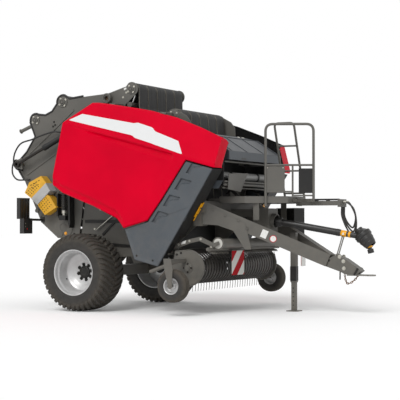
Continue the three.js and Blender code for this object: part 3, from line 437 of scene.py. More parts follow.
def coated(name, colour, roughness, metallic=0.0, patch=0.35, grain=6, depth=0.25, dust=0.25,
           dust_top=1.1, scuffs=0.0, gloss=0.5):
    """Coated or moulded surface: base colour varied in soft patches `patch` metres wide, a grain of
    `grain` millimetres in the bump, road dust that thins out up to `dust_top` metres, and scuffs."""
    material, tree, shader, place = new_finish(name)
    cloud = noise(tree, place, 1 / patch, 3.0, 0.55)
    base = ramp(tree, cloud, [(0.3, shade_of(colour, 0.88)), (0.7, shade_of(colour, 1.08))])
    if scuffs:
        marks = ramp(tree, noise(tree, place, 70.0, 5.0, 0.8), [(0.60, 0.0), (0.70, scuffs)])
        base = blend(tree, marks, base, (*shade_of(colour, 1.9), 1))
    height = add_node(tree, "ShaderNodeSeparateXYZ", {"Vector": place}).outputs["Z"]
    speck = noise(tree, place, 9.0, 6.0, 0.7)
    film = ramp(tree, speck, [(0.35, 0.0), (0.75, 1.0)])
    veil = calc(tree, "MULTIPLY", film, remap(tree, height, dust, dust * 0.12, dust_top))
    feed(tree, shader, {
        "Base Color": blend(tree, veil, base, DUST),
        "Roughness": remap(tree, speck, roughness * 0.8, min(1.0, roughness * 1.25)),
        "Normal": bump(tree, noise(tree, place, 1000 / grain), depth, 0.001),
        "Metallic": metallic, "Specular IOR Level": gloss})
    return material


def belt_rubber():
    """Baler belt: rubber pressed with a small diamond tread about 12 mm apart, worn shiny in streaks
    along its run."""
    material, tree, shader, place = new_finish("pressed_belt_rubber")
    rows = [wave(tree, laid(tree, place, Rotation=(turn, 0, 0)), "Y") for turn in (0.9, -0.9)]
    wear = noise(tree, laid(tree, place, Scale=(1.5, 60.0, 1.5)), 1.0, 4.0)
    feed(tree, shader, {
        "Base Color": ramp(tree, wear, [(0.3, linear("#202020")), (0.75, linear("#343332"))]),
        "Roughness": remap(tree, wear, 0.85, 0.6),
        "Normal": bump(tree, calc(tree, "MULTIPLY", *rows), 0.6, 0.002)})
    return material


def tyre_rubber():
    """Vulcanised rubber: dark, dull, browned with soil where the piece's own `soil` attribute is high."""
    material, tree, shader, place = new_finish("vulcanised_tyre_rubber")
    soil = add_node(tree, "ShaderNodeAttribute", attribute_name="soil").outputs["Fac"]
    cloud = noise(tree, place, 14.0, 6.0, 0.7)
    rubber = ramp(tree, cloud, [(0.3, linear("#282624")), (0.72, linear("#383633"))])
    feed(tree, shader, {
        "Base Color": blend(tree, calc(tree, "MULTIPLY", soil, cloud), rubber, SOIL), "Roughness": 0.82,
        "Normal": bump(tree, noise(tree, place, 220.0, 3.0), 0.35, 0.0015)})
    return material


def turned_steel(name, colour, roughness):
    """Bare or chromed steel: metallic, with faint drawn lines across the piece."""
    material, tree, shader, place = new_finish(name)
    lines = noise(tree, laid(tree, place, Scale=(1.0, 9.0, 1.0)), 40.0, 5.0, 0.7)
    feed(tree, shader, {
        "Base Color": ramp(tree, lines, [(0.3, shade_of(colour, 0.75)), (0.7, shade_of(colour, 1.1))]),
        "Roughness": remap(tree, lines, roughness * 0.75, roughness * 1.3), "Metallic": 1.0})
    return material


def rusted_steel():
    """Chain links: brown rust over grey steel in patches a few millimetres wide."""
    material, tree, shader, place = new_finish("rusted_chain_steel")
    tone = ramp(tree, noise(tree, place, 90.0, 5.0),
                [(0.35, linear("#5E3F29")), (0.55, linear("#8A6A4E")), (0.75, linear("#8D8B86"))])
    feed(tree, shader, {"Base Color": tone, "Metallic": 0.4, "Roughness": 0.7})
    return material


def ridged_lens(name, colour):
    """Moulded acrylic lamp lens: clear gloss over prisms 6 mm apart, with painted light: the colour runs
    lighter and darker along the prisms.
    """
    material, tree, shader, place = new_finish(name)
    prisms = wave(tree, place, "Z")
    feed(tree, shader, {
        # Painted light through the prisms: colour from 0.7 to 1.15 times the lens colour across each prism.
        "Base Color": ramp(tree, prisms, [(0.0, shade_of(colour, 0.7)), (1.0, shade_of(colour, 1.15))]),
        "Normal": bump(tree, prisms, 0.4, 0.002), "Roughness": 0.15, "Coat Weight": 0.5})
    return material


def warning_board(shift, pitch, slope):
    """Reflective film in red and white bands, `pitch` metres apart across, that fall by `slope`, with
    the fine honeycomb cells of such film."""
    material, tree, shader, place = new_finish("banded_reflective_film")
    split = add_node(tree, "ShaderNodeSeparateXYZ", {"Vector": place}).outputs
    across = calc(tree, "MULTIPLY", split["Y"], 1.0 / pitch)
    both_ways = calc(tree, "ADD", across, calc(tree, "MULTIPLY", split["Z"], slope / pitch))
    part = calc(tree, "FRACT", calc(tree, "ADD", both_ways, shift))
    bands = ramp(tree, part, [(0.0, linear("#A80012")), (0.5, linear("#D5D5D0"))], "CONSTANT")
    cells = add_node(tree, "ShaderNodeTexVoronoi", {"Vector": place, "Scale": 180.0}).outputs["Distance"]
    faded = ramp(tree, cells, [(0.0, 0.86), (0.6, 1.0)])
    feed(tree, shader, {"Base Color": blend(tree, 1.0, bands, faded, "MULTIPLY"), "Roughness": 0.45,
                        "Specular IOR Level": 0.04})
    return material


def tread_plate():
    """Platform sheet: painted steel with raised lozenges 30 mm apart laid both ways."""
    material, tree, shader, place = new_finish("painted_tread_plate")
    turned = laid(tree, place, Rotation=(0, 0, 0.785), Scale=(33.0, 33.0, 1.0))
    dots = add_node(tree, "ShaderNodeTexVoronoi", {"Vector": turned, "Scale": 1.0, "Randomness": 0.0},
                    voronoi_dimensions="2D").outputs["Distance"]
    raised = ramp(tree, dots, [(0.18, 1.0), (0.30, 0.0)])
    low = ramp(tree, noise(tree, place, 12.0, 5.0), [(0.3, linear("#484642")), (0.7, linear("#64615A"))])
    feed(tree, shader, {"Base Color": blend(tree, raised, low, (*linear("#7A7871"), 1)),
                        "Normal": bump(tree, raised, 0.8, 0.003), "Roughness": 0.5})
    return material


def print_film(name, colour, dirt_level=0.72):
    """Blank printed label film: slightly uneven, with dirt gathered in soft specks."""
    material, tree, shader, place = new_finish(name)
    dirt = noise(tree, place, 45.0, 5.0)
    feed(tree, shader,
         {"Base Color": ramp(tree, dirt, [(0.28, shade_of(colour, dirt_level)), (0.5, colour)]),
                        "Roughness": 0.35})
    return material


FINISHES = {}


def finish(name):
    """A finish by name, made when it is first asked for."""
    if name not in FINISHES:
        FINISHES[name] = FINISH_MAKERS[name]()
    return FINISHES[name]


def palette():
    """The colours a user may change."""
    return bpy.context.scene.baler_colours


# Coated finishes: name, material name, colour (one of the palette's or a hex), roughness, settings.
COATED = [
    # Gel-coated polyester covers: deep red, a long soft waviness.
    ("red_gelcoat", "red_gelcoat", "red", 0.24,
     dict(patch=0.8, grain=30, depth=0.04, dust=0.0, gloss=0.05)),
    # Moulded polyolefin panels: blue grey, leather grain, duller.
    ("grey_panel", "moulded_grey_panel", "panel", 0.5,
     dict(patch=0.5, grain=3.0, depth=0.3, dust=0.22, dust_top=2.0)),
    # Powder-coated steel: warm grey or black, satin, orange-peel grain.
    ("frame_paint", "powder_coated_frame", "frame", 0.5,
     dict(patch=0.4, grain=5.0, dust=0.3, dust_top=1.6, scuffs=0.25)),
    ("black_paint", "powder_coated_black", "black", 0.5,
     dict(patch=0.3, grain=5.0, dust=0.12, dust_top=1.8, scuffs=0.1, gloss=0.35)),
    # Rim lacquer: aluminium-coloured paint, bright, streaked by brake dust and water.
    ("silver_lacquer", "silver_rim_lacquer", "silver", 0.34,
     dict(metallic=0.35, patch=0.12, grain=4.0, depth=0.12, dust_top=0.9)),
    # Polyethylene chocks: traffic yellow, soft gloss.
    ("chock_yellow", "moulded_chock_yellow", "yellow", 0.42,
     dict(patch=0.1, grain=2.0, dust=0.35, dust_top=2.6)),
    # Hose cover: extruded black rubber.
    ("hose_rubber", "extruded_hose_rubber", "#1E1E1E", 0.55,
     dict(patch=0.06, grain=2.0, depth=0.3, dust=0.3, dust_top=2.0)),
    # Shaft guard and lamp housings: blow-moulded black plastic.
    ("guard_plastic", "blow_moulded_black", "#1C1C1C", 0.38,
     dict(patch=0.2, grain=3.0, depth=0.2, dust=0.15, dust_top=1.6, scuffs=0.15)),
    ("disc_white", "painted_white_disc", "#C9C7C0", 0.5, dict(patch=0.1, dust=0.2)),
    ("roller_grey", "light_roller_paint", "#9C9C9A", 0.45, dict(patch=0.2, dust=0.2)),
    ("strap_grey", "woven_strap_grey", "#B4B4B2", 0.6, dict(patch=0.08, grain=3.0, dust=0.2, dust_top=2.6)),
    ("cover_lining", "black_cover_lining", "#1B1B1C", 0.6, dict(patch=0.4, dust=0.2, dust_top=2.4)),
    ("lid_dark", "moulded_lid_dark", "#2B3036", 0.45, dict(patch=0.5, grain=3.0, dust=0.15, dust_top=2.4)),
    ("belt_ply", "frayed_fabric_ply", "#77736A", 0.9, dict(patch=0.05, grain=2.0, depth=0.5)),
    # Chock pockets: dark brown as painted shade of the hollows in the yellow moulding.
    ("pocket_shade", "deep_moulded_pocket", "#4A3208", 0.8, dict(patch=0.05, grain=2.0)),
    ("rusty_rod", "oiled_dark_steel", "#2A2725", 0.45, dict(metallic=0.6, patch=0.1, grain=4.0, dust=0.3)),
]


def coated_maker(name, colour, roughness, settings):
    """What makes one coated finish; its colour is looked up when it is made."""
    return lambda: coated(name, linear(colour) if colour[0] == "#" else getattr(palette(), colour),
                          roughness, **settings)


FINISH_MAKERS = {
    "zinc": lambda: turned_steel("zinc_plated_steel", linear("#C9C6BC"), 0.32),
    "chrome": lambda: turned_steel("chromed_rod", linear("#D8D8D8"), 0.12),
    "bare_steel": lambda: turned_steel("ground_bare_steel", linear("#8E8B85"), 0.4),
    "rust": rusted_steel,
    "belt": belt_rubber,
    "tyre": tyre_rubber,
    "red_lens": lambda: ridged_lens("red_acrylic_lens", linear("#C01018")),
    "amber_lens": lambda: ridged_lens("amber_acrylic_lens", linear("#F0A000")),
    "board": lambda: warning_board(0.08, 0.335, -1.05),
    "tread": tread_plate,
    "white_film": lambda: print_film("white_label_film", linear("#E4E4E0")),
    # Printed band of the covers: clean gloss film.
    "band_film": lambda: print_film("white_band_film", linear("#DCDDDD"), 0.96),
    "red_film": lambda: print_film("red_label_film", linear("#C4122A")),
    "yellow_film": lambda: print_film("yellow_label_film", linear("#F2A900")),
    **{row[0]: coated_maker(*row[1:]) for row in COATED},
}


# ------------------------------------------------------------------ what a user may change
def paint(name, colour, description):
    """A colour property with its start value."""
    return bpy.props.FloatVectorProperty(name=name, description=description, subtype="COLOR", size=3,
                                         default=linear(colour), min=0, max=1)


class BalerColours(bpy.types.PropertyGroup):
    """Paint and moulding colours."""
    red: paint("Cover red", "#D10026", "Gel coat of the side covers")
    panel: paint("Panel grey", "#474D53", "Moulded front panels and net box lid")
    frame: paint("Frame grey", "#5A5853", "Powder coat of plates and beams")
    black: paint("Black", "#191919", "Powder coat of rollers and net box")
    silver: paint("Rim silver", "#C8C8C8", "Lacquer of the rims")
    yellow: paint("Chock yellow", "#E0A820", "Wheel chocks")


class BalerSizes(bpy.types.PropertyGroup):
    """Counts and sizes of the detail pieces."""
    lugs: bpy.props.IntProperty(
        name="Lugs", description="Tread lugs round each side of a main tyre", default=40, min=12, max=60)
    lug_height: bpy.props.FloatProperty(
        name="Lug height", description="How far a lug stands off the carcass", unit="LENGTH",
        default=0.020, min=0.005, max=0.04)
    belts: bpy.props.IntProperty(
        name="Belts", description="Belts side by side in the chamber", default=5, min=3, max=8)
    bands: bpy.props.IntProperty(
        name="Stripper bands", description="Bands round the pick-up reel", default=28, min=9, max=40)
    bolt: bpy.props.FloatProperty(
        name="Bolt size", description="Width of a frame bolt's head across its flats", unit="LENGTH",
        default=0.024, min=0.010, max=0.040)
    lens: bpy.props.FloatProperty(
        name="Lens", description="Focal length of the camera", subtype="DISTANCE_CAMERA",
        default=115.04, min=20, max=300)


def sizes():
    """The sizes a user may change."""
    return bpy.context.scene.baler_sizes


# ------------------------------------------------------------------ stage
CAMERA_PLACE = (AXLE_X + 9.324, -15.251, 1.1735)      # metres
CAMERA_TURN, CAMERA_PITCH = 28.06, 0.98               # degrees, pitch upwards
SOFT_LIGHT = 0.62        # strength of the surroundings on the machine
FLOOR_LIFT = 0.09        # glow of the floor as the camera sees it
LAMP_POWER, LAMP_SPREAD, LAMP_TURN = 1.5, 25, (48, 0, 4)
FLOOR_HALF = 60.0


class BALER_OT_stage(bpy.types.Operator):
    """Pale floor, soft studio light and the camera"""
    bl_idname = "baler.stage"
    bl_label = "Stage"

    def execute(self, context):
        """Build it."""
        scene = context.scene
        scene.view_settings.view_transform = "Standard"
        camera = bpy.data.objects.new("camera", bpy.data.cameras.new("camera"))
        scene.collection.objects.link(camera)
        camera.data.lens = sizes().lens
        camera.data.sensor_width = 36.0
        camera.data.clip_end = 200.0
        camera.location = CAMERA_PLACE
        camera.rotation_euler = (math.pi / 2 + math.radians(CAMERA_PITCH), 0, math.radians(CAMERA_TURN))
        scene.camera = camera
        self.light(scene)
        self.floor(scene)
        return {"FINISHED"}

    def light(self, scene):
        """White surroundings, plus one broad lamp from behind the camera's left shoulder."""
        world = bpy.data.worlds.new("studio")
        scene.world = world
        world.use_nodes = True
        tree = world.node_tree
        tree.nodes.clear()
        path = add_node(tree, "ShaderNodeLightPath").outputs
        seen = calc(tree, "MAXIMUM", calc(tree, "MAXIMUM", path["Is Camera Ray"], path["Is Glossy Ray"]),
                    path["Is Transmission Ray"])
        soft, white = [add_node(tree, "ShaderNodeBackground", {"Color": (1, 1, 1, 1), "Strength": power})
                       for power in (SOFT_LIGHT, 1.0)]
        mix = add_node(tree, "ShaderNodeMixShader", {0: seen, 1: soft.outputs[0], 2: white.outputs[0]})
        add_node(tree, "ShaderNodeOutputWorld", {"Surface": mix.outputs[0]})
        sun = bpy.data.objects.new("key_lamp", bpy.data.lights.new("key_lamp", "SUN"))
        scene.collection.objects.link(sun)
        sun.data.energy = LAMP_POWER
        sun.data.angle = math.radians(LAMP_SPREAD)
        sun.rotation_euler = [math.radians(turn) for turn in LAMP_TURN]

    def floor(self, scene):
        """Wide pale sheet at the ground."""
        mesh = bpy.data.meshes.new("floor")
        mesh.from_pydata([(x * FLOOR_HALF, y * FLOOR_HALF, 0)
                          for x, y in ((-1, -1), (1, -1), (1, 1), (-1, 1))],
                         [], [(0, 1, 2, 3)])
        floor = bpy.data.objects.new("floor", mesh)
        scene.collection.objects.link(floor)
        material, tree, shader, place = new_finish("matt_studio_floor")
        seen = add_node(tree, "ShaderNodeLightPath").outputs["Is Camera Ray"]
        feed(tree, shader, {
            "Base Color": ramp(tree, noise(tree, place, 0.4), [(0.0, 0.97), (1.0, 1.0)]), "Roughness": 0.9,
            "Specular IOR Level": 0.1, "Emission Color": (1, 1, 1, 1),
            "Emission Strength": calc(tree, "MULTIPLY", seen, FLOOR_LIFT)})
        mesh.materials.append(material)


# ------------------------------------------------------------------ hoses
FRONT_HOSES = [(120, 985, 3392), (165, 1040, 3372), (210, 1090, 3348)]
ARM_FRONT = 3215
ARM_UNDER = 1365
SEAT = 0.3
HOSE_R = 11
GATE_OUTER = 674


def front_route(y, low, front):
    """Points of one looped hose of the hose arm."""
    end = ARM_FRONT + SEAT
    return [(end, y, 1430), (end + 35, y, 1430), (front - 40, y + 6, 1350), (front, y + 12, low + 140),
            (front - 40, y + 14, low + 10), (front - 100, y + 10, low + 60), (ARM_FRONT - 16, y + 2, 1250),
            (ARM_FRONT - 17, y, ARM_UNDER - SEAT)]


HOSE_Y = -GATE_OUTER - SEAT
REAR_ROUTES = [
    [(-600, HOSE_Y, 2400), (-600, HOSE_Y - 26, 2400), (-680, HOSE_Y - 50, 2412), (-860, -762, 2366),
     (-1033, -762, 2312), (-1236, -752, 2256), (-1347, -742, 2106), (-1350, -740, 1966),
     (-1300, -732, 1905), (-1262, -706, 1894), (-1255, HOSE_Y - 18, 1893), (-1255, HOSE_Y, 1893)],
    [(-1300, HOSE_Y, 2005), (-1300, HOSE_Y - 20, 2005), (-1310, -700, 2024), (-1350, -706, 2036),
     (-1394, -712, 1967), (-1388, -720, 1841), (-1303, -730, 1763), (-1190, -724, 1756),
     (-1140, -704, 1758), (-1130, HOSE_Y - 18, 1758), (-1130, HOSE_Y, 1758)],
]


class BALER_OT_hoses(bpy.types.Operator):
    """Looped hydraulic hoses at the hose arm and behind the tailgate"""
    bl_idname = "baler.hoses"
    bl_label = "Hoses"

    def execute(self, context):
        """Build it."""
        routes = [(f"front_hose_{i + 1}", front_route(*row), "chassis")
                  for i, row in enumerate(FRONT_HOSES)]
        routes += [(f"rear_hose_{i + 1}", row, "tailgate") for i, row in enumerate(REAR_ROUTES)]
        for name, route, body in routes:
            line = catmull(route, 96)
            hose = piece(name + "_cover", tube(line, HOSE_R, 16), "hose_rubber", body,
                         replaces=[name])
        return {"FINISHED"}


# ------------------------------------------------------------------ wheels
TRACK_HALF = 1045
WHEEL_R = 510
RIM_SECTION = [
    (292, -226), (292, 226), (299, 229), (303, 236), (300, 240), (291, 238), (284, 226), (281, 214),
    (280, 196), (270, 180), (263, 172), (261, 150), (258, 60), (251, 20), (240, 6), (224, 2), (214, -6),
    (203, -7), (195, -14), (180, -16), (171, -24), (150, -28), (120, -42), (96, -46), (82, -46),
    (82, -56), (120, -54), (150, -40), (224, -10), (246, 2), (251, -60), (254, -110), (272, -160),
    (276, -214), (284, -226),
]
CARCASS = [
    (296, 226), (303, 242), (320, 243), (326, 247), (340, 249), (346, 246), (372, 249), (396, 250),
    (402, 253), (408, 250), (430, 246), (448, 239), (462, 228), (472, 214), (479, 198), (484, 176),
    (487, 140), (489, 105), (490, 70), (490, 35), (490, 0),
]


def resampled(points, count):
    """Points at even steps along a polyline."""
    points = np.asarray(points, dtype=float)
    run = np.concatenate([[0], np.cumsum(np.linalg.norm(np.diff(points, axis=0), axis=1))])
    s = np.linspace(0, run[-1], count)
    return np.stack([np.interp(s, run, points[:, k]) for k in range(points.shape[1])], axis=-1)


def tyre_shape(lugs, height):
    """Low-pressure tyre about its axle, made as a grid of angle a by arc length round the section.
    The section is the carcass outline; each point moves out along the section's normal by
    height * lug(a, y). lug is 1 inside bars that run across half the tread and curve back with the
    square of |y|, their edges softened; the two halves are set half a pitch apart, and the bars run
    on over the shoulder and fade out on the side wall."""
    half = np.asarray(CARCASS, dtype=float)
    other = half[::-1][1:] * np.array([1, -1])
    section = resampled(np.concatenate([half, other]), 84)
    section = np.concatenate([section, [(290, -200), (288, 0), (290, 200)]])
    normal = np.roll(section, -1, axis=0) - np.roll(section, 1, axis=0)
    normal = unit(np.stack([normal[:, 1], -normal[:, 0]], axis=-1)) * -1
    a = np.arange(720) * TAU / 720
    r, y = section[:, 0][None, :], section[:, 1][None, :]
    side = np.sign(y)
    reach = np.abs(y) / 230
    pitch = TAU / lugs
    lead = 0.20 * reach ** 1.6 + 0.25 * pitch * side
    phase = ((a[:, None] - lead) / pitch) % 1.0
    width = 0.23 + 0.05 * reach
    bar_mask = 1 - smooth(width, width + 0.075, np.abs(phase - 0.5))
    across = smooth(-6, 10, np.abs(y) - 8) * smooth(418, 452, r)
    lug = bar_mask * across
    edge = 0.15 * np.sin(a[:, None] * lugs * 3) * smooth(395, 450, r) * (1 - smooth(470, 486, r))
    r2 = r + height * (lug + 0.2 * edge) * normal[:, 0][None, :]
    y2 = y + height * (lug + 0.2 * edge) * normal[:, 1][None, :]
    r2 = np.minimum(r2, WHEEL_R)
    points = np.stack([r2 * np.cos(a[:, None]), np.broadcast_to(y2, r2.shape), r2 * np.sin(a[:, None])],
                      axis=-1).reshape(-1, 3)
    soil = smooth(380, 480, r) * (1 - 0.8 * lug) + 0.25 * smooth(330, 460, r)
    faces = grid_faces(720, len(section), wrap_rows=True, wrap_cols=True)
    return points, faces, np.broadcast_to(soil, r2.shape).reshape(-1)


def add_soil(obj, values):
    """Store how soiled each vertex is, for the rubber finish."""
    layer = obj.data.attributes.new("soil", "FLOAT", "POINT")
    layer.data.foreach_set("value", np.clip(values, 0, 1).astype(np.float32))


def wheel_hub():
    """Hub cap with a stepped rim, eight studs and nuts round it, a valve and the axle's end."""
    cap = disc_lathe([(0, -60), (82, -60), (84, -40), (78, -28), (62, -24), (56, -18), (0, -17)], 48)
    a = np.arange(8) * TAU / 8 + 0.2
    places = np.stack([103 * np.cos(a), np.full(8, -44.0), 103 * np.sin(a)], axis=-1)
    nuts = bolts(places, (0, 1, 0), 30, 18)
    studs = copies(bar((0, -46, 0), (0, -14, 0), 8, 10), places * np.array([1, 0, 1]))
    valve = bar((-240, 20, -96), (-226, 58, -90), 7, 10)
    return joined(cap, nuts, studs), valve


GAUGE = (1590, 1440, 380)
GAUGE_TYRE = [
    (100, -58), (108, -68), (128, -73), (134, -76), (150, -75), (176, -71), (190, -64), (199, -54),
    (203, -46), (203, -36), (197, -34), (197, -29), (205, -27), (205, -8), (199, -6), (199, 6), (205, 8),
    (205, 27), (197, 29), (197, 34), (203, 36), (203, 46), (199, 54), (190, 64), (176, 71), (150, 75),
    (134, 76), (128, 73), (108, 68), (100, 58),
]
GAUGE_RIM = [
    (15, -36), (34, -36), (38, -12), (80, -2), (90, -56), (100, -60), (100, 58), (105, 66), (103, 70),
    (95, 66), (90, 58), (87, 36), (80, 14), (62, 7), (56, 9), (40, 8), (38, 32), (30, 36), (15, 36),
]


class BALER_OT_wheels(bpy.types.Operator):
    """Lugged tyres, stepped rims, hubs and the two gauge wheels"""
    bl_idname = "baler.wheels"
    bl_label = "Wheels"

    def execute(self, context):
        """Build it."""
        values = sizes()
        points, faces, soil = tyre_shape(values.lugs, values.lug_height / MM)
        rim = lathe(RIM_SECTION, 120)
        hub, valve = wheel_hub()
        gauge_tyre = lathe(GAUGE_TYRE, 96)
        gauge_rim = lathe(GAUGE_RIM, 72)
        nut_angles = (0.3, 1.56, 2.81, 4.07, 5.33)
        gauge_nuts = bolts([(52 * math.cos(t), 10, 52 * math.sin(t)) for t in nut_angles], (0, 1, 0), 17, 9)
        for side, hand in (("left", 1), ("right", -1)):
            centre = (0, hand * TRACK_HALF, WHEEL_R)
            body = f"{side}_wheel"

            def put(shape, at=centre):
                return copies(shape if hand > 0 else mirrored(shape), [at])

            tyre = piece(f"{side}_tread", put((points, faces)), "tyre", body,
                         replaces=[f"{side}_tyre"])
            add_soil(tyre, soil)
            piece(f"{side}_wheel_disc", put(rim), "silver_lacquer", body,
                  replaces=[f"{side}_rim"])
            piece(f"{side}_hub", put(hub), "black_paint", body)
            piece(f"{side}_valve", put(valve), "black_paint", body)
            at = (GAUGE[0], hand * GAUGE[1], GAUGE[2])
            small = piece(f"{side}_gauge_tyre", put(gauge_tyre, at), "tyre", f"{side}_gauge",
                          replaces=[f"{side}_gauge_wheel"])
            add_soil(small, np.tile(smooth(150, 200, np.array(GAUGE_TYRE)[:, 0]), 96))
            piece(f"{side}_gauge_rim", put(joined(gauge_rim, gauge_nuts), at), "silver_lacquer",
                  f"{side}_gauge")
        return {"FINISHED"}


# ------------------------------------------------------------------ side covers
COVER_Y = 1150
CREASE_AT = (-268, 2493)
CREASE_SLOPE = -493 / 1868
LEAN = 0.6
COVER_TOP = [(-268, 2493), (67, 2761), (166, 2757), (400, 2722), (661, 2676), (951, 2622), (1330, 2516),
             (1702, 2372), (1958, 2258), (2060, 2210), (2095, 2172)]
COVER_LOW = [(-429, 1664), (-282, 1558), (201, 1379), (564, 1219), (681, 1091), (1043, 1190),
             (1250, 1460), (1426, 1712), (1599, 1953), (1988, 1850), (2095, 1850)]
COVER_REAR = [(-268, 2493), (-425, 1792), (-429, 1664)]
COVER_NOSE = 2000
SKIN = 9


def crease_z(x):
    """Height of the crease at x."""
    return CREASE_AT[1] + CREASE_SLOPE * (np.asarray(x, dtype=float) - CREASE_AT[0])


def cover_y(x, z):
    """Outer face of a left-hand cover: upright below the crease, leaning in by LEAN times the height
    above it, with the crease rounded over some 30 mm."""
    above = np.asarray(z, dtype=float) - crease_z(x)
    soft = 14.0
    rise = 0.5 * (above + np.sqrt(above ** 2 + soft ** 2))
    return COVER_Y + 3 - LEAN * rise


def scoop_depth(x, z):
    """Hollow under the crease: a wedge that deepens from the rear to a round front end, and a shallow
    step back along the lower edge."""
    x = np.asarray(x, dtype=float)
    below = crease_z(x) - np.asarray(z, dtype=float)
    tall = 24 + 92 * smooth(-300, 1150, x)
    front = smooth(-270, 0, x) * (1 - smooth(1360, 1440, x))
    hollow = smooth(8, 30, below) * (1 - smooth(0.45, 1.0, below / tall)) * front
    return 34 * hollow


def low_edge_z(x):
    """Height of the cover's lower edge at x."""
    low = np.asarray(COVER_LOW, dtype=float)
    return np.interp(x, low[:, 0], low[:, 1])


def cover_shape():
    """Left cover as two ruled fields in x and z that share the crease: the upper one runs from the
    crease to the top edge, the lower one is a four-sided patch blended from its edges (crease, lower
    edge, rear edge, front end). y comes from cover_y less scoop_depth, a stepped-back band along the
    lower edge, a shallow dish and a rounding at every edge; the shell is closed by the same surface
    set SKIN further in."""
    rows, up, down = 300, 26, 64
    top, low = np.asarray(COVER_TOP, dtype=float), np.asarray(COVER_LOW, dtype=float)
    rear = np.asarray(COVER_REAR, dtype=float)
    u = np.linspace(0, 1, rows)[:, None]
    cx = -268 + 2363 * u
    cz = crease_z(cx)
    tx = cx
    tz = np.interp(tx, top[:, 0], top[:, 1])
    v = np.linspace(1, 0, up)[None, :]
    upper_x = np.broadcast_to(cx, (rows, up))
    upper_z = cz + (tz - cz) * v
    v = np.linspace(0, 1, down)[None, 1:]
    bx = -429 + 2524 * u
    bz = np.interp(bx, low[:, 0], low[:, 1])
    rz = 2493 + (1664 - 2493) * v
    rx = np.interp(-rz, -rear[:, 1], rear[:, 0])
    nx, nz = 2095 + 0 * v, cz[-1, 0] + (1850 - cz[-1, 0]) * v
    corner_x = ((1 - u) * (1 - v) * -268 + (1 - u) * v * -429 + u * (1 - v) * 2095 + u * v * 2095)
    corner_z = ((1 - u) * (1 - v) * 2493 + (1 - u) * v * 1664 + u * (1 - v) * cz[-1, 0] + u * v * 1850)
    lower_x = (1 - v) * cx + v * bx + (1 - u) * rx + u * nx - corner_x
    lower_z = (1 - v) * cz + v * bz + (1 - u) * rz + u * nz - corner_z
    x = np.concatenate([upper_x, lower_x], axis=1)
    z = np.concatenate([upper_z, lower_z], axis=1)
    y = cover_y(x, z) - scoop_depth(x, z)
    # The band along the lower edge steps back under a soft shoulder.
    to_edge = z - low_edge_z(x)
    skirt = (1 - smooth(70, 120, to_edge)) * smooth(-450, -380, x) * (1 - smooth(600, 700, x))
    y = y - 24 * skirt
    # A long shallow dish across the middle, deepest towards the front.
    dish = smooth(150, 420, to_edge) * smooth(60, 300, crease_z(x) - z) * smooth(-380, 200, x)
    y = y - 12 * dish * (1 - smooth(1250, 1560, x))
    # Rounded rim, and the front end turned in.
    near_top = np.hypot(x - upper_x[:, :1], z - upper_z[:, :1])
    y = y - 16 * (1 - smooth(0, 16, near_top)) ** 2
    y = y - 16 * (1 - smooth(0, 14, np.abs(to_edge))) ** 2
    y = y - 16 * (1 - smooth(0, 14, x - np.interp(-z, -rear[:, 1], rear[:, 0]))) ** 2 * (z < 2493)
    nose = np.maximum(0, x - COVER_NOSE)
    x = np.where(nose > 0, COVER_NOSE + 14 + 6 * smooth(0, 95, nose), x)
    y = y - 1.9 * nose
    outer = np.stack([x, y, z], axis=-1)
    inner = np.stack([x, y - SKIN, z], axis=-1)
    inner[:, 0, 2] -= 4
    cols = x.shape[1]
    n = rows * cols
    faces = grid_faces(rows, cols)
    back = [[k + n for k in f[::-1]] for f in faces]
    rim = np.concatenate([np.arange(cols), np.arange(1, rows) * cols + cols - 1,
                          (rows - 1) * cols + np.arange(cols - 2, -1, -1),
                          np.arange(rows - 2, 0, -1) * cols])
    nxt = np.roll(rim, -1)
    walls = np.stack([rim, rim + n, nxt + n, nxt], axis=-1).tolist()
    return np.concatenate([outer.reshape(-1, 3), inner.reshape(-1, 3)]), faces + back + walls


STRIPE = [(-15, 2604), (770, 2452), (804, 2464), (1040, 2388), (1091, 2336), (1445, 2201), (1551, 2024),
          (1129, 2162), (1083, 2180), (839, 2255), (791, 2290), (-181, 2523)]


def stripe_shape():
    """White band on the leaning face: its outline split into short steps, 1.5 mm proud of the cover."""
    corners = np.asarray(STRIPE + STRIPE[:1], dtype=float)
    outline = resampled(corners, 120)[:-1]
    n = len(outline)
    x, z = outline[:, 0], outline[:, 1]
    y = COVER_Y + 3 - LEAN * np.maximum(z - crease_z(x), 0)
    out = np.array([0.0, 0.857, 0.514])
    base = np.stack([x, y, z], axis=-1)
    points = np.concatenate([base - 2.0 * out, base + 2.2 * out])
    k = np.arange(n)
    walls = np.stack([k, (k + 1) % n, (k + 1) % n + n, k + n], axis=-1).tolist()
    return points, [list(range(n))[::-1], list(range(n, 2 * n))] + walls


def cover_back():
    """What shows behind a cover from outside and behind: the hinge arms and two stiffening channels,
    all inside the shell."""
    arms = []
    for x, z in COVER_HINGES:
        low = z - 300
        y = float(cover_y(x, low)) - 30
        arms.append(beam((x, 854, z - 30), (x, y - 14, low), 14, 34))
        arms.append(bar((x - 20, 862, z + 4), (x + 20, 862, z - 4), 14, 20))
    rail = [beam((100, 1124, 1700), (1300, 1124, 1760), 14, 60),
            beam((-200, 1124, 2250), (1300, 1124, 1960), 14, 60)]
    return joined(*arms, *rail)


class BALER_OT_covers(bpy.types.Operator):
    """Side covers with their crease, hollow band and blank stripe"""
    bl_idname = "baler.covers"
    bl_label = "Side covers"

    def execute(self, context):
        """Build it."""
        shell, stripe, back = cover_shape(), stripe_shape(), cover_back()
        for side, put in SIDES:
            body = f"{side}_cover"
            piece(f"{side}_cover_skin", put(shell), "red_gelcoat", body, flat_over=32,
                  replaces=[f"{side}_side_cover"], inner="cover_lining", inner_from=len(shell[1]) // 2)
            piece(f"{side}_cover_stripe", put(stripe), "band_film", body)
            piece(f"{side}_cover_arms", put(back), "frame_paint", body, bevel=1.5)
        return {"FINISHED"}


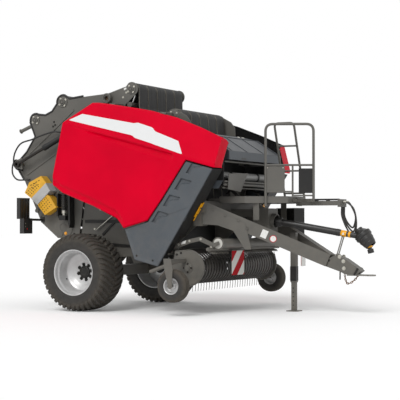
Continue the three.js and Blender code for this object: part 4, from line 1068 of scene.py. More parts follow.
# ------------------------------------------------------------------ belts and bearings
TOP_ROLLER, FRONT_ROLLER, LOW_ROLLER = (505, 2945, 78), (1150, 2560, 92), (1270, 1290, 80)
REAR_TOP, REAR_MID = (-579, 2816, 82), (-1032, 2585, 72)
BELT_HALF, BELT_T, BELT_GAP, PLY = 596, 10, 24, 4
ON_ROLLER = 1.9
CHAMBER_OUTER = 652


def belt_line(parts):
    """Belt run as points every 8 mm or so, its corners eased by a running mean of five."""
    line = np.concatenate([np.asarray(p, dtype=float).reshape(-1, 2) for p in parts])
    run = float(np.linalg.norm(np.diff(line, axis=0), axis=1).sum())
    line = resampled(line, int(run / 8))
    kernel = np.ones(5) / 5
    eased = np.stack([np.convolve(line[:, k], kernel, mode="valid") for k in (0, 1)], axis=-1)
    return np.concatenate([line[:2], eased, line[-2:]])


def belt_strip(line, y0, y1, thick):
    """One belt from y0 to y1: the line and the same line moved by `thick` along its left normal."""
    step = np.gradient(line, axis=0)
    out = line + thick * unit(np.stack([-step[:, 1], step[:, 0]], axis=-1))
    n = len(line)
    corners = [(line, y0), (line, y1), (out, y1), (out, y0)]
    ring = np.stack([np.stack([p[:, 0], np.full(n, y), p[:, 1]], axis=-1) for p, y in corners], axis=1)
    faces = grid_faces(n, 4, wrap_cols=True) + [[0, 1, 2, 3], [4 * n - 1, 4 * n - 2, 4 * n - 3, 4 * n - 4]]
    return ring.reshape(-1, 3), faces


def front_line():
    """Belts over the top, front and lower rollers of the fixed half."""
    top, front, low = TOP_ROLLER, FRONT_ROLLER, LOW_ROLLER
    return belt_line([(250, 2560), arc(*top[:2], top[2] + ON_ROLLER, 156, 0, 24),
                      [(590, 2700), (622, 2600), (720, 2525), (900, 2500), (1000, 2540)],
                      arc(*front[:2], front[2] + ON_ROLLER, 136, 5, 20),
                      arc(*low[:2], low[2] + ON_ROLLER, 5, -150, 24)])


def rear_line():
    """Belts over the tailgate's rollers and down its rear."""
    line = belt_line([(-160, 2740), arc(*REAR_TOP[:2], REAR_TOP[2] + ON_ROLLER + 0.4, 80, 215, 22),
                      [(-645, 2700), (-690, 2615), (-800, 2565)],
                      arc(*REAR_MID[:2], REAR_MID[2] + ON_ROLLER + 0.4, 63, 190, 20),
                      [(-1035, 2330), (-1100, 2150), (-1165, 1960), (-1160, 1800), (-1010, 1500),
                       (-800, 1230), (-640, 1110)]])
    return line[::-1]


def bearing(x, z, y, r):
    """Flanged bearing housing on a left-hand plate: flange, raised hub and shaft end."""
    profile = [(0, y - 1), (r, y - 1), (r, y + 7), (r - 5, y + 11), (0.62 * r, y + 12), (0.55 * r, y + 26),
               (0.40 * r, y + 28), (0.38 * r, y + 20), (0.26 * r, y + 20), (0.26 * r, y + 30), (0, y + 31)]
    return disc_lathe(profile, 40, (x, 0, z))


class BALER_OT_belts(bpy.types.Operator):
    """Belts side by side with their cut fabric edges, and the bearings of their rollers"""
    bl_idname = "baler.belts"
    bl_label = "Belts"

    def execute(self, context):
        """Build it."""
        count = sizes().belts
        wide = (2 * BELT_HALF - (count - 1) * BELT_GAP) / count
        starts = [-BELT_HALF + i * (wide + BELT_GAP) for i in range(count)]
        for name, line, body, node in (("front_belt", front_line(), "chassis", "front_belts"),
                                       ("rear_belt", rear_line(), "tailgate", "rear_belts")):
            runs = joined(*[belt_strip(line, y + PLY, y + wide - PLY, BELT_T) for y in starts])
            plies = joined(*[belt_strip(line, e, e + PLY, BELT_T - 1) for y in starts
                             for e in (y, y + wide - PLY)])
            piece(name + "_set", runs, "belt", body, flat_over=30, replaces=[node])
            piece(name + "_edges", plies, "belt_ply", body, flat_over=30)
        sets = (("chassis", CHAMBER_OUTER,
                 [(*TOP_ROLLER[:2], 66), (*FRONT_ROLLER[:2], 78), (*LOW_ROLLER[:2], 66)]),
                ("tailgate", GATE_OUTER, [(*REAR_TOP[:2], 74), (*REAR_MID[:2], 66)]))
        for body, y, rows in sets:
            housings = joined(*[bearing(x, z, y, r) for x, z, r in rows])
            heads = [(x + 0.8 * r * math.cos(a), y + 10, z + 0.8 * r * math.sin(a))
                     for x, z, r in rows for a in np.arange(4) * TAU / 4 + 0.6]
            screws = bolts(heads, (0, 1, 0), 17, 10)
            for side, put in SIDES:
                piece(f"{side}_{body}_bearings", put(housings), "frame_paint", body, flat_over=35)
                piece(f"{side}_{body}_bearing_bolts", put(screws), "zinc", body, shade=False)
        return {"FINISHED"}


# ------------------------------------------------------------------ drive line
PTO_REAR, PTO_BEND = (2345, 1179), (3443, 998)
PTO_BELL, PTO_TIP = (3540, 996), (3644, 873)
GUARD_R = 44


def spun(profile, sides, origin, axis):
    """Turned solid from (r, along) points, laid with its length along axis."""
    points, faces = disc_lathe(profile, sides)
    return turned_to((points[:, [0, 2, 1]], faces), origin, axis)


def chain(path, pitch, wire):
    """Chain: oval links of round wire set every `pitch` along the path, each turned a quarter from
    the last. A link's centre line is (0.72 pitch cos t, 0.34 pitch sin t)."""
    path = np.asarray(path, dtype=float)
    run = float(np.linalg.norm(np.diff(path, axis=0), axis=1).sum())
    count = max(3, int(run / pitch))
    spots = resampled(path, count + 1)
    middle, along = (spots[1:] + spots[:-1]) / 2, unit(np.diff(spots, axis=0))
    t = np.arange(14) * TAU / 14
    oval = np.stack([0.34 * pitch * np.sin(t), np.zeros(14), 0.72 * pitch * np.cos(t)], axis=-1)
    flat = tube(oval, wire, 8, wrap=True)
    upright = (flat[0][:, [1, 0, 2]], flat[1])
    return joined(*[turned_to((flat, upright)[i % 2], m, d, up=(0, 1, 0))
                    for i, (m, d) in enumerate(zip(middle, along))])


class BALER_OT_driveline(bpy.types.Operator):
    """Drive shaft guard with its bell, bands and stand rods"""
    bl_idname = "baler.driveline"
    bl_label = "Drive line"

    def execute(self, context):
        """Build it."""
        start = np.array([PTO_REAR[0], 0.0, PTO_REAR[1]])
        end = np.array([PTO_BEND[0], 0.0, PTO_BEND[1]])
        run = float(np.linalg.norm(end - start))
        axis = (end - start) / run
        body = "shaft"
        guard = spun([(0, -45), (58, -45), (62, -38), (62, 52), (58, 60), (GUARD_R + 3, 66), (GUARD_R, 74),
                      (GUARD_R, 892), (GUARD_R - 7, 902), (GUARD_R - 7, run + 12), (0, run + 14)],
                     40, start, axis)
        bell_at = np.array([PTO_BELL[0], 0.0, PTO_BELL[1]])
        tip = np.array([PTO_TIP[0], 0.0, PTO_TIP[1]])
        deep = float(np.linalg.norm(tip - bell_at))
        lean = (tip - bell_at) / deep
        bell = spun([(0, -112), (48, -112), (52, -106), (53, -84), (60, -80), (72, -66), (94, -40),
                     (106, -35), (112, -28), (112, -14), (109, -12), (109, -2), (112, 0), (112, 18),
                     (108, 24), (99, 28), (97, 60), (99, 63), (99, 68), (95, 71), (85, 110), (87, 113),
                     (87, 118), (83, 121), (72, deep - 4), (70, deep), (65, deep), (63, deep - 4), (84, 44),
                     (0, 44)],
                    56, bell_at, lean)
        neck = bell_at + (deep - 65) * lean
        cross = bar(bell_at + 30 * lean, neck, 24, 20)
        hang = unit(np.array([36.0, 0, -127.0]))
        pin = bar(neck - 4 * hang, neck + 50 * hang, 14, 16)
        piece("shaft_guard", joined(guard, bell, cross, pin), "guard_plastic", body, flat_over=35,
              replaces=["drive_shaft"])
        band = start + 946 * axis
        wrap = spun([(0, -38), (GUARD_R - 5, -38), (GUARD_R - 4, -36), (GUARD_R - 4, 36), (GUARD_R - 5, 38),
                     (0, 38)], 40, band, axis)
        mark = spun([(0, -15), (GUARD_R - 3.6, -15), (GUARD_R - 3.6, 15), (0, 15)], 40, start + 1026 * axis,
                    axis)
        collar = spun([(0, 56), (40, 56), (42, 60), (42, 74), (40, 78), (0, 78)], 32, neck, hang)
        piece("guard_bands", joined(wrap, mark, collar), "yellow_film", body, flat_over=35)
        square = plate([(-18, -16), (18, -16), (0, 18)], -GUARD_R + 3.6, -GUARD_R + 6)
        piece("guard_mark", (square[0] + band, square[1]), "white_film", body)
        ribs = joined(*[spun([(0, s), (GUARD_R + 2.5, s), (GUARD_R + 2.5, s + 6), (0, s + 6)], 40, start,
                             axis)
                        for s in (82, 96, 110, 840, 856, 872)])
        piece("guard_ribs", ribs, "guard_plastic", body, flat_over=35)
        hooks = chain([(3274, 30, 508), (3278, 30, 450), (3308, 20, 383), (3370, 10, 400), (3430, 10, 450),
                       (3464, 30, 508)], 30, 4.5)
        piece("safety_chain", hooks, "rust", flat_over=60)
        strap = joined(beam((3440, -78, 500), (3492, -78, 590), 8, 26),
                       beam((3440, 78, 500), (3492, 78, 590), 8, 26),
                       beam((3250, -76, 440), (3252, -76, 540), 10, 16))
        piece("chain_brackets", strap, "black_paint", bevel=1)
        return {"FINISHED"}


# ------------------------------------------------------------------ drawbar and jack
BEAM_REAR, BEAM_APEX = (1600, 788, 1376), (3075, 58, 680)


def on_beam(x, dz, out, hand=-1):
    """Point on a drawbar beam's outer face at x, dz above its centre line, `out` proud of it."""
    t = (x - BEAM_REAR[0]) / (BEAM_APEX[0] - BEAM_REAR[0])
    y = BEAM_REAR[1] + t * (BEAM_APEX[1] - BEAM_REAR[1])
    z = BEAM_REAR[2] + t * (BEAM_APEX[2] - BEAM_REAR[2]) + dz
    return np.array([x + (40 + out) * 0.4435, hand * (y + (40 + out) * 0.8963), z])


BEAM_OUT = np.array([0.4435, -0.8963, 0.0])


class BALER_OT_drawbar(bpy.types.Operator):
    """Bolts, blank plates and trims of the drawbar and the jack"""
    bl_idname = "baler.drawbar"
    bl_label = "Drawbar"

    def execute(self, context):
        """Build it."""
        places = [(3294, 673), (3301, 583), (3243, 730)]
        rows = [bolts([(x, 72 * s, z) for x, z in places], (0, s, 0), 30, 14) for s in (-1, 1)]
        beam_bolts = [on_beam(x, dz, 10)
                      for x, dz in ((1650, 40), (1650, -35), (1760, 30), (1900, 20), (2050, 25),
                                                       (2150, -30))]
        piece("drawbar_bolts", joined(*rows), "zinc", shade=False)
        side = bolts(beam_bolts, BEAM_OUT, sizes().bolt / MM, 13)
        piece("beam_bolts", both(side), "frame_paint", shade=False)
        # Black discs on both faces of the drawbar nose: painted shade of the hole through it.
        hole = joined(*[disc_lathe([(0, y0), (17, y0), (17, y0 + 2.4), (0, y0 + 2.4)], 24, (3098, 0, 681))
                        for y0 in (-73.6, 71.2)])
        piece("drawbar_holes", hole, "guard_plastic")
        along = np.array([0.8253, 0.4084, -0.3894])
        up = np.cross(along, BEAM_OUT)
        up = up if up[2] > 0 else -up

        def card(x, dz, half_l, half_h, out):
            middle = on_beam(x, dz, out)
            c = [middle + a * half_l * along + b * half_h * up
                 for a, b in ((-1, -1), (1, -1), (1, 1), (-1, 1))]
            points = np.array(c + [p + 2 * BEAM_OUT for p in c])
            return points, [[3, 2, 1, 0], [4, 5, 6, 7], [0, 1, 5, 4], [1, 2, 6, 5], [2, 3, 7, 6],
                            [3, 0, 4, 7]]

        piece("beam_label", card(2348, -4, 40, 52, 0.4), "white_film")
        sign = [spun([(0, 0), (r, 0), (r, h), (0, h)], 40, on_beam(2450, -18, 0.4), BEAM_OUT)
                for r, h in ((45, 1.6), (37, 2.6))]
        piece("beam_sign_rim", sign[0], "red_film")
        piece("beam_sign", sign[1], "white_film")
        # The grip is a square collar, open inside for the leg.
        collar = [(2465.5, 2470, 128.5, 211.5), (2544, 2548.5, 128.5, 211.5), (2465.5, 2548.5, 128.5, 133),
                  (2465.5, 2548.5, 207, 211.5)]
        piece("jack_grip", joined(*[block(*side, 400, 590) for side in collar]), "black_paint",
              bevel=1.2)
        # Black discs on the jack leg: painted shade of its pin holes.
        holes = joined(*[disc_lathe([(0, 139.8), (10, 139.8), (10, 141.5), (0, 141.5)], 20, (2507, 0, z))
                         for z in range(80, 360, 56)])
        piece("jack_holes", holes, "guard_plastic", "jack")
        clips = joined(*[block(x, x + 26, 20, 100, 1445, 1459) for x in (2700, 2860, 3020)],
                       bar((2640, 60, 1462), (3190, 60, 1462), 11, 14),
                       bar((2640, 84, 1460), (3190, 84, 1460), 8, 14))
        piece("hose_arm_lines", clips, "guard_plastic")
        plugs = [bar((3216 + 2, y, 1430), (3216 + 44, y, 1430), 16, 18) for y in (120, 165, 210)]
        piece("hose_couplings", joined(*plugs), "zinc")
        return {"FINISHED"}


# ------------------------------------------------------------------ pick-up
REEL, BAND_R, TINE_R, BAND_SPAN = (1600, 592), 205, 305, 2110
PICKUP_END, PIVOT = 1085, (1150, 830)
GUARD_ARM_Y, GUARD_PIVOT, GUARD_TUBE = 957, (1345, 856), (1868, 828)
CROP = (1950, 900)
ROLLER_HALF = 940


def band_outline(thick):
    """Side view of one stripper band, bowed out over the reel from one crossbar to the other."""
    x, z = REEL
    outer = np.concatenate([[(1270, 470)], arc(x, z, BAND_R, -108, 84, 40), [(1310, 815)]])
    inner = np.concatenate([[(1270, 470 + thick)], arc(x, z, BAND_R - thick, -108, 84, 40),
                            [(1310, 815 - thick)]])
    return np.concatenate([outer, inner[::-1]])


def pickup_side():
    """Left end of the pick-up: end plate with a rolled edge, lift arm, windguard bracket, gauge fork."""
    x, z = REEL
    rim = np.concatenate([arc(x, z, BAND_R + 22, -110, 84, 48),
                          [(1420, 800), (1400, 700), (1300, 600), (1250, 520), (1250, 450)]])
    end = plate(rim, PICKUP_END - 12, PICKUP_END)
    path = np.stack([rim[:, 0], np.full(len(rim), PICKUP_END - 3.0), rim[:, 1]], axis=-1)
    edge = tube(path, 8, 10, wrap=True)
    arm = plate(np.concatenate([arc(*PIVOT, 52, 70, 290, 24),
                                [(1300, 740), (1328, 770), (1328, 830), (1250, 868)]]),
                680, 696)
    fork_y = GAUGE[1] + 87
    fork = plate(np.concatenate([[(1500, 720), (1600, 720), (1630, 600)],
                                 arc(GAUGE[0], GAUGE[2], 34, 30, -210, 20),
                                 [(1510, 600)]]), fork_y, fork_y + 10)
    carrier = block(1515, 1575, PICKUP_END - 4, fork_y + 6, 660, 710)
    stay = bar((1130, 1225, 540), (1540, 1225, 684), 24, 20)
    axle = bar((GAUGE[0], GAUGE[1] - 65, GAUGE[2]), (GAUGE[0], fork_y + 14, GAUGE[2]), 14, 20)
    bracket = plate([(1300, 815), (1385, 815), (1375, 884), (1315, 884)], 931, 945)
    pin = bar((GUARD_PIVOT[0], 941, GUARD_PIVOT[1]), (GUARD_PIVOT[0], 983, GUARD_PIVOT[1]), 14, 20)
    hub = disc_lathe([(0, PICKUP_END - 1), (64, PICKUP_END - 1), (64, PICKUP_END + 8),
                      (40, PICKUP_END + 12), (36, PICKUP_END + 30), (0, PICKUP_END + 30)], 36, (x, 0, z))
    shield = plate(np.concatenate([arc(x + 10, z, 214, -86, 40, 24), arc(x + 10, z, 150, 40, -86, 24)]),
                   PICKUP_END + 1, PICKUP_END + 9)
    return joined(end, edge, arm, fork, carrier, stay, axle, bracket, pin, hub, shield)


def tine_wire(angle, y):
    """One sprung tine: out from its bar along the radius, its outer half raked back."""
    s = np.linspace(0, 1, 7)
    r = 140 + (TINE_R - 142) * s
    turn = angle - 0.09 * np.maximum(0, s - 0.5)
    path = np.stack([REEL[0] + r * np.cos(turn), np.full(7, y), REEL[1] + r * np.sin(turn)], axis=-1)
    return tube(path, np.linspace(4.2, 3.4, 7), 8)


class BALER_OT_pickup(bpy.types.Operator):
    """Pick-up: bands, end plates, tine reel and gauge wheel forks"""
    bl_idname = "baler.pickup"
    bl_label = "Pick-up"

    def execute(self, context):
        """Build it."""
        side = pickup_side()
        cross = joined(block(1298, 1328, -945, 945, 775, 825), block(1262, 1290, -1081, 1081, 462, 510),
                       block(1306, 1322, -1081, 1081, 752, 775))
        piece("pickup_sides", joined(side, mirrored(side), cross), "frame_paint", "pickup", bevel=1.5,
              flat_over=35, replaces=["pickup_frame"])
        count = sizes().bands
        pitch = BAND_SPAN / count
        middle = -BAND_SPAN / 2 + pitch * (np.arange(count) + 0.5)
        keep = np.abs(middle) < 990
        one = plate(band_outline(5), -0.36 * pitch, 0.36 * pitch)
        inside = copies(one, [(0, y, 0) for y in middle[keep]])
        x, z = REEL
        short = np.concatenate([arc(x, z, BAND_R, -100, 84, 34), arc(x, z, BAND_R - 5, 84, -100, 34)])
        outside = copies(plate(short, -0.36 * pitch, 0.36 * pitch), [(0, y, 0) for y in middle[~keep]])
        piece("stripper_bands", joined(inside, outside), "rusty_rod", "pickup", flat_over=35)
        heads = [(x + 50 * math.cos(a), PICKUP_END + 8, z + 50 * math.sin(a))
                 for a in np.arange(4) * TAU / 4]
        heads += [(1290, PICKUP_END, 520), (1300, PICKUP_END, 560), (1440, PICKUP_END, 760),
                  (1500, PICKUP_END, 780)]
        row = bolts(heads, (0, 1, 0), 18, 10)
        piece("pickup_bolts", both(row), "rusty_rod", "pickup", shade=False)

        gaps = middle[:-1] + pitch / 2
        parts = [bar((x, -PICKUP_END + 1, z), (x, PICKUP_END - 1, z), 24, 24)]
        for k in range(3):
            angle = k * TAU / 3 + 0.6
            bx, bz = x + 140 * math.cos(angle), z + 140 * math.sin(angle)
            parts.append(bar((bx, -1045, bz), (bx, 1045, bz), 15, 16))
            first = tine_wire(angle, 0.0)
            parts.append(copies(first, [(0, y - 4, 0) for y in gaps]))
            coil = bar((bx, -13, bz), (bx, 13, bz), 23, 14)
            parts.append(copies(coil, [(0, y, 0) for y in gaps]))
        disc = disc_lathe([(0, -5), (158, -5), (158, 5), (0, 5)], 40, (x, 0, z))
        parts.append(copies(disc, [(0, f * BAND_SPAN / 2, 0) for f in (-0.94, -0.31, 0.31, 0.94)]))
        piece("tine_reel", joined(*parts), "rusty_rod", "reel", flat_over=35, replaces=["pickup_reel"])
        return {"FINISHED"}


# ------------------------------------------------------------------ windguard
class BALER_OT_windguard(bpy.types.Operator):
    """Windguard arms and tube, crop roller, warning board"""
    bl_idname = "baler.windguard"
    bl_label = "Windguard"

    def execute(self, context):
        """Build it."""
        px, pz = GUARD_PIVOT
        arm = plate(np.concatenate([arc(px, pz, 34, 100, 280, 20),
                                    [(1560, 900), (1700, 930), (1900, 850), (1985, 885), (1975, 930),
                                     (1905, 905), (1720, 985), (1560, 955)]]), GUARD_ARM_Y,
                    GUARD_ARM_Y + 12)
        link = block(1850, 1892, GUARD_ARM_Y - 6, GUARD_ARM_Y + 18, 812, 880)
        pin = bar((CROP[0], ROLLER_HALF - 80, CROP[1]), (CROP[0], GUARD_ARM_Y + 22, CROP[1]), 12, 20)
        side = joined(arm, link, pin)
        tube_shape = bar((GUARD_TUBE[0], -1065, GUARD_TUBE[1]), (GUARD_TUBE[0], 1065, GUARD_TUBE[1]), 24,
                         28)
        ledge = block(1862, 1930, -503, -150, 800, 812)
        back = block(1921, 1926, -503, -150, 486, 812)
        piece("windguard_frame", joined(side, mirrored(side), tube_shape, ledge, back), "frame_paint",
              "guard",
              bevel=1.2, flat_over=35, replaces=["windguard"])
        piece("warning_board", block(1926, 1932, -503, -150, 486, 800), "board", "guard", bevel=1)
        tooth = plate([(1838, 806), (1900, 790), (1908, 762), (1890, 774), (1836, 790)], -5, 5)
        comb = copies(tooth, [(0, y, 0) for y in np.arange(-980, 981, 44) if abs(y + 326) > 190])
        piece("windguard_comb", comb, "frame_paint", "guard", bevel=1)
        tag = joined(block(1850, 1886, -330, -190, 852, 854.5), block(1844, 1892, -920, -880, 881, 883))
        piece("windguard_tags", tag, "yellow_film", "guard")
        piece("arm_label", plate([(1440, 886), (1500, 899), (1512, 940), (1452, 918)], -GUARD_ARM_Y - 12.4,
                                 -GUARD_ARM_Y - 14), "white_film", "guard")
        row = bolts([(1400, GUARD_ARM_Y + 12, 884), (1560, GUARD_ARM_Y + 12, 930),
                     (1720, GUARD_ARM_Y + 12, 955), (1870, GUARD_ARM_Y + 18, 850)], (0, 1, 0), 18, 10)
        piece("windguard_bolts", both(row), "zinc", "guard", shade=False)
        drum = spun([(0, -ROLLER_HALF + 24), (58, -ROLLER_HALF + 24), (60, -ROLLER_HALF + 26),
                     (60, ROLLER_HALF - 26), (58, ROLLER_HALF - 24), (0, ROLLER_HALF - 24)], 40,
                    (CROP[0], 0, CROP[1]), (0, 1, 0))
        rim = lathe([(60, ROLLER_HALF - 24), (76, ROLLER_HALF - 22), (80, ROLLER_HALF - 16),
                     (80, ROLLER_HALF - 3), (77, ROLLER_HALF), (66, ROLLER_HALF), (64, ROLLER_HALF - 8),
                     (60, ROLLER_HALF - 8)], 48,
                    (CROP[0], 0, CROP[1]))
        face = lathe([(20, ROLLER_HALF - 14), (63, ROLLER_HALF - 14), (63, ROLLER_HALF - 4),
                      (58, ROLLER_HALF - 2), (20, ROLLER_HALF - 2)], 48, (CROP[0], 0, CROP[1]))
        piece("crop_drum", joined(drum, rim, mirrored(rim)), "frame_paint", "crop_roll", flat_over=35,
              replaces=["crop_roller"])
        piece("crop_drum_faces", both(face), "disc_white", "crop_roll", flat_over=35)
        return {"FINISHED"}


# ------------------------------------------------------------------ tailgate, chocks, lamps
TAIL_EDGE = [(-1219, 1754), (-1310, 1884), (-1350, 1991), (-1181, 2148), (-1039, 2357), (-1125, 2560)]
LIFT_BASE, LIFT_EYE, LIFT_Y = (250, 2690), (-1261, 1973), 792
CHOCK_FACE = -824.8
POCKET_DEPTH = 2.8


def chock_slots(origin, across, along, rows, count):
    """Painted shade of the moulded pockets on a chock's outer face: thin dark plates, rows x count slanted
    slots.
    """
    origin, across, along = (np.asarray(v, dtype=float) for v in (origin, across, along))
    u = unit(along)
    w = np.array([-u[1], u[0]])
    slot = [(-4.5, -8), (4.5, -8), (6, -5), (6, 5), (4.5, 8), (-4.5, 8), (-6, 5), (-6, -5)]
    shapes = []
    for r in rows:
        for k in range(count):
            c = origin + unit(across) * r + u * (26 + 36 * k)
            outline = [(c + a * u + b * w).tolist() for a, b in slot]
            shapes.append(plate(outline, CHOCK_FACE, CHOCK_FACE + POCKET_DEPTH))
    return joined(*shapes)


def bellows(x, y, z0, z1, radius, turns):
    """Ribbed sleeve about an upright line: radius plus 5 mm times the sine of `turns` waves."""
    s = np.linspace(0, 1, 12 * turns + 1)
    path = np.stack([np.full(len(s), x), np.full(len(s), y), z0 + (z1 - z0) * s], axis=-1)
    return tube(path, radius + 5 * np.sin(TAU * turns * s), 28)


class BALER_OT_tailgate(bpy.types.Operator):
    """Dark edge tube, spring unit, reflectors and bolts of the tailgate; painted shade in the chock
    pockets; lamp lenses
    """
    bl_idname = "baler.tailgate"
    bl_label = "Tailgate"

    def execute(self, context):
        """Build it."""
        body = "tailgate"
        edge = np.concatenate([TAIL_EDGE, arc(*REAR_MID[:2], 90, 190, 60, 12), [(-871, 2649), (-757, 2697)],
                               arc(*REAR_TOP[:2], 98, 190, 70, 14), [(-467, 2860), (-250, 2884)]])
        path = np.stack([edge[:, 0], np.full(len(edge), 671.0), edge[:, 1]], axis=-1)
        # Dark round tube along the edge of the side plate.
        trim = tube(path, 15, 12)
        rib = joined(beam((-1140, 679, 2120), (-400, 679, 2700), 10, 26),
                     beam((-960, 679, 1240), (-300, 679, 1960), 10, 26),
                     beam((-1180, 679, 1830), (-330, 679, 2330), 10, 26))
        for side, put in SIDES:
            piece(f"{side}_tail_trim", put(trim), "hose_rubber", body, flat_over=60)
            piece(f"{side}_tail_ribs", put(rib), "frame_paint", body, bevel=2)
            disc = lathe([(60, 673), (148, 673), (148, 679), (144, 681), (66, 681), (60, 679)], 56,
                         (-560, 0, 1100))
            lug = joined(bar((-1285, 668, 1960), (-1285, 702, 1960), 40, 28),
                         bar((-1000, 668, 1330), (-1000, 692, 1330), 30, 28),
                         bar((-600, 668, 1010), (-600, 690, 1010), 34, 28))
            piece(f"{side}_tail_bosses", put(joined(disc, lug)), "frame_paint", body, flat_over=35)
            heads = [(-708, 674, 2507), (-726, 674, 2549), (-668, 674, 2499), (-741, 674, 2488),
                     (-820, 674, 1330), (-640, 674, 1240), (-420, 674, 1120), (-390, 674, 1010)]
            piece(f"{side}_tail_bolts", put(bolts(heads, (0, 1, 0), 17, 9)), "rusty_rod", body, shade=False)
            glass = disc_lathe([(0, 675), (24, 675), (24, 682), (21, 686), (0, 688)], 32, (-525, 0, 1016))
            piece(f"{side}_side_reflector", put(glass), "amber_lens", body, flat_over=50)
            unit_parts = joined(bellows(-505, 752, 1330, 1560, 36, 9),
                                bar((-505, 752, 1560), (-505, 752, 1720), 24, 24))
            piece(f"{side}_density_sleeve", put(unit_parts), "hose_rubber", body, flat_over=70)
            fork = joined(bar((-505, 752, 1286), (-505, 752, 1330), 34, 24),
                          bar((-505, 752, 1262), (-505, 752, 1288), 22, 24),
                          bar((-540, 752, 1300), (-470, 752, 1300), 11, 16))
            piece(f"{side}_density_fork", put(fork), "zinc", body, flat_over=35)
            seat = joined(block(-556, -454, 676, 800, 1196, 1262), block(-560, -450, 676, 800, 1700, 1724),
                          plate([(-420, 1600), (-392, 1600), (-380, 1150), (-396, 1090), (-412, 1150)], 676,
                                790),
                          plate([(-606, 1560), (-590, 1560), (-584, 1250), (-606, 1250)], 676, 780))
            piece(f"{side}_density_bracket", put(seat), "black_paint", body, bevel=2)

        stub = joined(bar((-1299, -652, 2437), (-1085, -652, 2518), 25, 24),
                      bar((-1302, -652, 2436), (-1288, -652, 2441), 33, 24))
        piece("tail_stub_tube", stub, "frame_paint", body, flat_over=35)
        strap = [(-990, 1496), (-752, 1701), (-682, 1599), (-893, 1411)]
        piece("chock_strap_face", plate(strap, -838, -825), "strap_grey", body, bevel=2)
        # Painted shade: thin dark plates in the chock pockets.
        piece("chock_upper_pockets", chock_slots((-1109, 1574), (116, -80), (243, 210), (20, 54, 88), 6),
              "pocket_shade", body)
        piece("chock_lower_pockets",
              chock_slots((-892, 1407), (119, -140), (210, 180), (24, 64, 104, 146), 5),
              "pocket_shade", body)
        # Painted shade between the ribs on the chock's top.
        top = joined(*[plate([(x, z), (x + 26, z + 12), (x + 22, z + 22), (x - 4, z + 10)], -824.8, -822)
                       for x, z in ((-1010, 1668), (-968, 1688), (-926, 1708), (-884, 1728), (-985, 1630),
                                    (-943, 1650), (-901, 1670))])
        piece("chock_upper_ribs", top, "pocket_shade", body)
        self.lamps(body)
        self.cylinders()
        return {"FINISHED"}

    def lamps(self, body):
        """Red and amber lenses behind, ribs in front, a red dot and two screws on the lower box."""
        for side, put in SIDES:
            red = joined(block(-1047, -1039, 895, 1085, 1300, 1485),
                         block(-1007, -999, 905, 1070, 1040, 1120))
            amber = block(-1047, -1039, 895, 1085, 1228, 1292)
            piece(f"{side}_lamp_red", put(red), "red_lens", body, bevel=4)
            piece(f"{side}_lamp_amber", put(amber), "amber_lens", body, bevel=4)
            ribs = joined(*[block(-987, -978, y, y + 14, 1225, 1488) for y in (892, 950, 1014, 1074)],
                          block(-987, -976, 885, 1095, 1480, 1497),
                          block(-987, -976, 885, 1095, 1216, 1230),
                          block(-932, -925, 900, 1075, 1026, 1036))
            piece(f"{side}_lamp_ribs", put(ribs), "guard_plastic", body, bevel=2)
            dot = spun([(0, 0), (11, 0), (11, 4), (0, 5)], 24, (-931, 1010, 1078), (1, 0, 0))
            piece(f"{side}_lamp_dot", put(dot), "red_lens", body)
            screws = joined(*[spun([(0, 0), (7, 0), (6, 3), (0, 3)], 20, (-931, 1050, z), (1, 0, 0))
                              for z in (1150, 1110)])
            piece(f"{side}_lamp_screws", put(screws), "zinc", body)

    def cylinders(self):
        """Smooth lift cylinders: barrel with its gland and eye, dark rod with its eye."""
        base = np.array([LIFT_BASE[0], LIFT_Y, LIFT_BASE[1]], dtype=float)
        eye = np.array([LIFT_EYE[0], LIFT_Y, LIFT_EYE[1]], dtype=float)
        reach = float(np.linalg.norm(eye - base))
        axis = (eye - base) / reach
        ring = [(24.4, -20), (46, -20), (46, 20), (24.4, 20)]
        barrel = joined(lathe(ring, 40, base), spun([(0, 46), (18, 46), (18, 84), (0, 84)], 28, base, axis),
                        spun([(0, 80), (34, 80), (38, 86), (38, 1110), (42, 1116), (42, 1172), (39, 1180),
                              (22.6, 1180), (22.6, 120), (0, 120)], 40, base, axis),
                        spun([(0, 1), (11, 1), (11, 24), (0, 24)], 20, base + 200 * axis + (0, 0, 37),
                             (0, 0, 1)))
        tip = [(20, -20), (44, -20), (44, 20), (20, 20)]
        rod = joined(lathe(tip, 40, eye),
                     spun([(0, reach - 900), (22, reach - 900), (22, reach - 42), (0, reach - 42)],
                                               32, base, axis))
        for side, put in SIDES:
            piece(f"{side}_lift_barrel", put(barrel), "black_paint", f"{side}_barrel", flat_over=35,
                  replaces=[f"{side}_cylinder_barrel"])
            piece(f"{side}_lift_rod", put(rod), "rusty_rod", f"{side}_rod", flat_over=35,
                  replaces=[f"{side}_cylinder_rod"])


# ------------------------------------------------------------------ front panels, net box
PANEL = [(1599, 1935), (1980, 1834), (1197, 602), (844, 686), (700, 1078), (1046, 1174), (1256, 1448),
         (1432, 1700)]
PANEL_DEPTH = 150
STEPS = [(1110 + 165 * i, 1180 + 205 * i) for i in range(4)]
STEP_DEPTH = 24


def inside_polygon(x, z, outline):
    """Signed distance to a polygon's edge, positive inside, for arrays of x and z."""
    corners = np.asarray(outline, dtype=float)
    best = np.full(np.shape(x), 1e9)
    odd = np.zeros(np.shape(x), dtype=bool)
    for (ax, az), (bx, bz) in zip(corners, np.roll(corners, -1, axis=0)):
        t = np.clip(((x - ax) * (bx - ax) + (z - az) * (bz - az)) / ((bx - ax) ** 2 + (bz - az) ** 2), 0, 1)
        best = np.minimum(best, np.hypot(x - ax - t * (bx - ax), z - az - t * (bz - az)))
        crosses = ((az > z) != (bz > z)) & (x < (bx - ax) * (z - az) / (bz - az + 1e-9) + ax)
        odd ^= crosses
    return np.where(odd, best, -best)


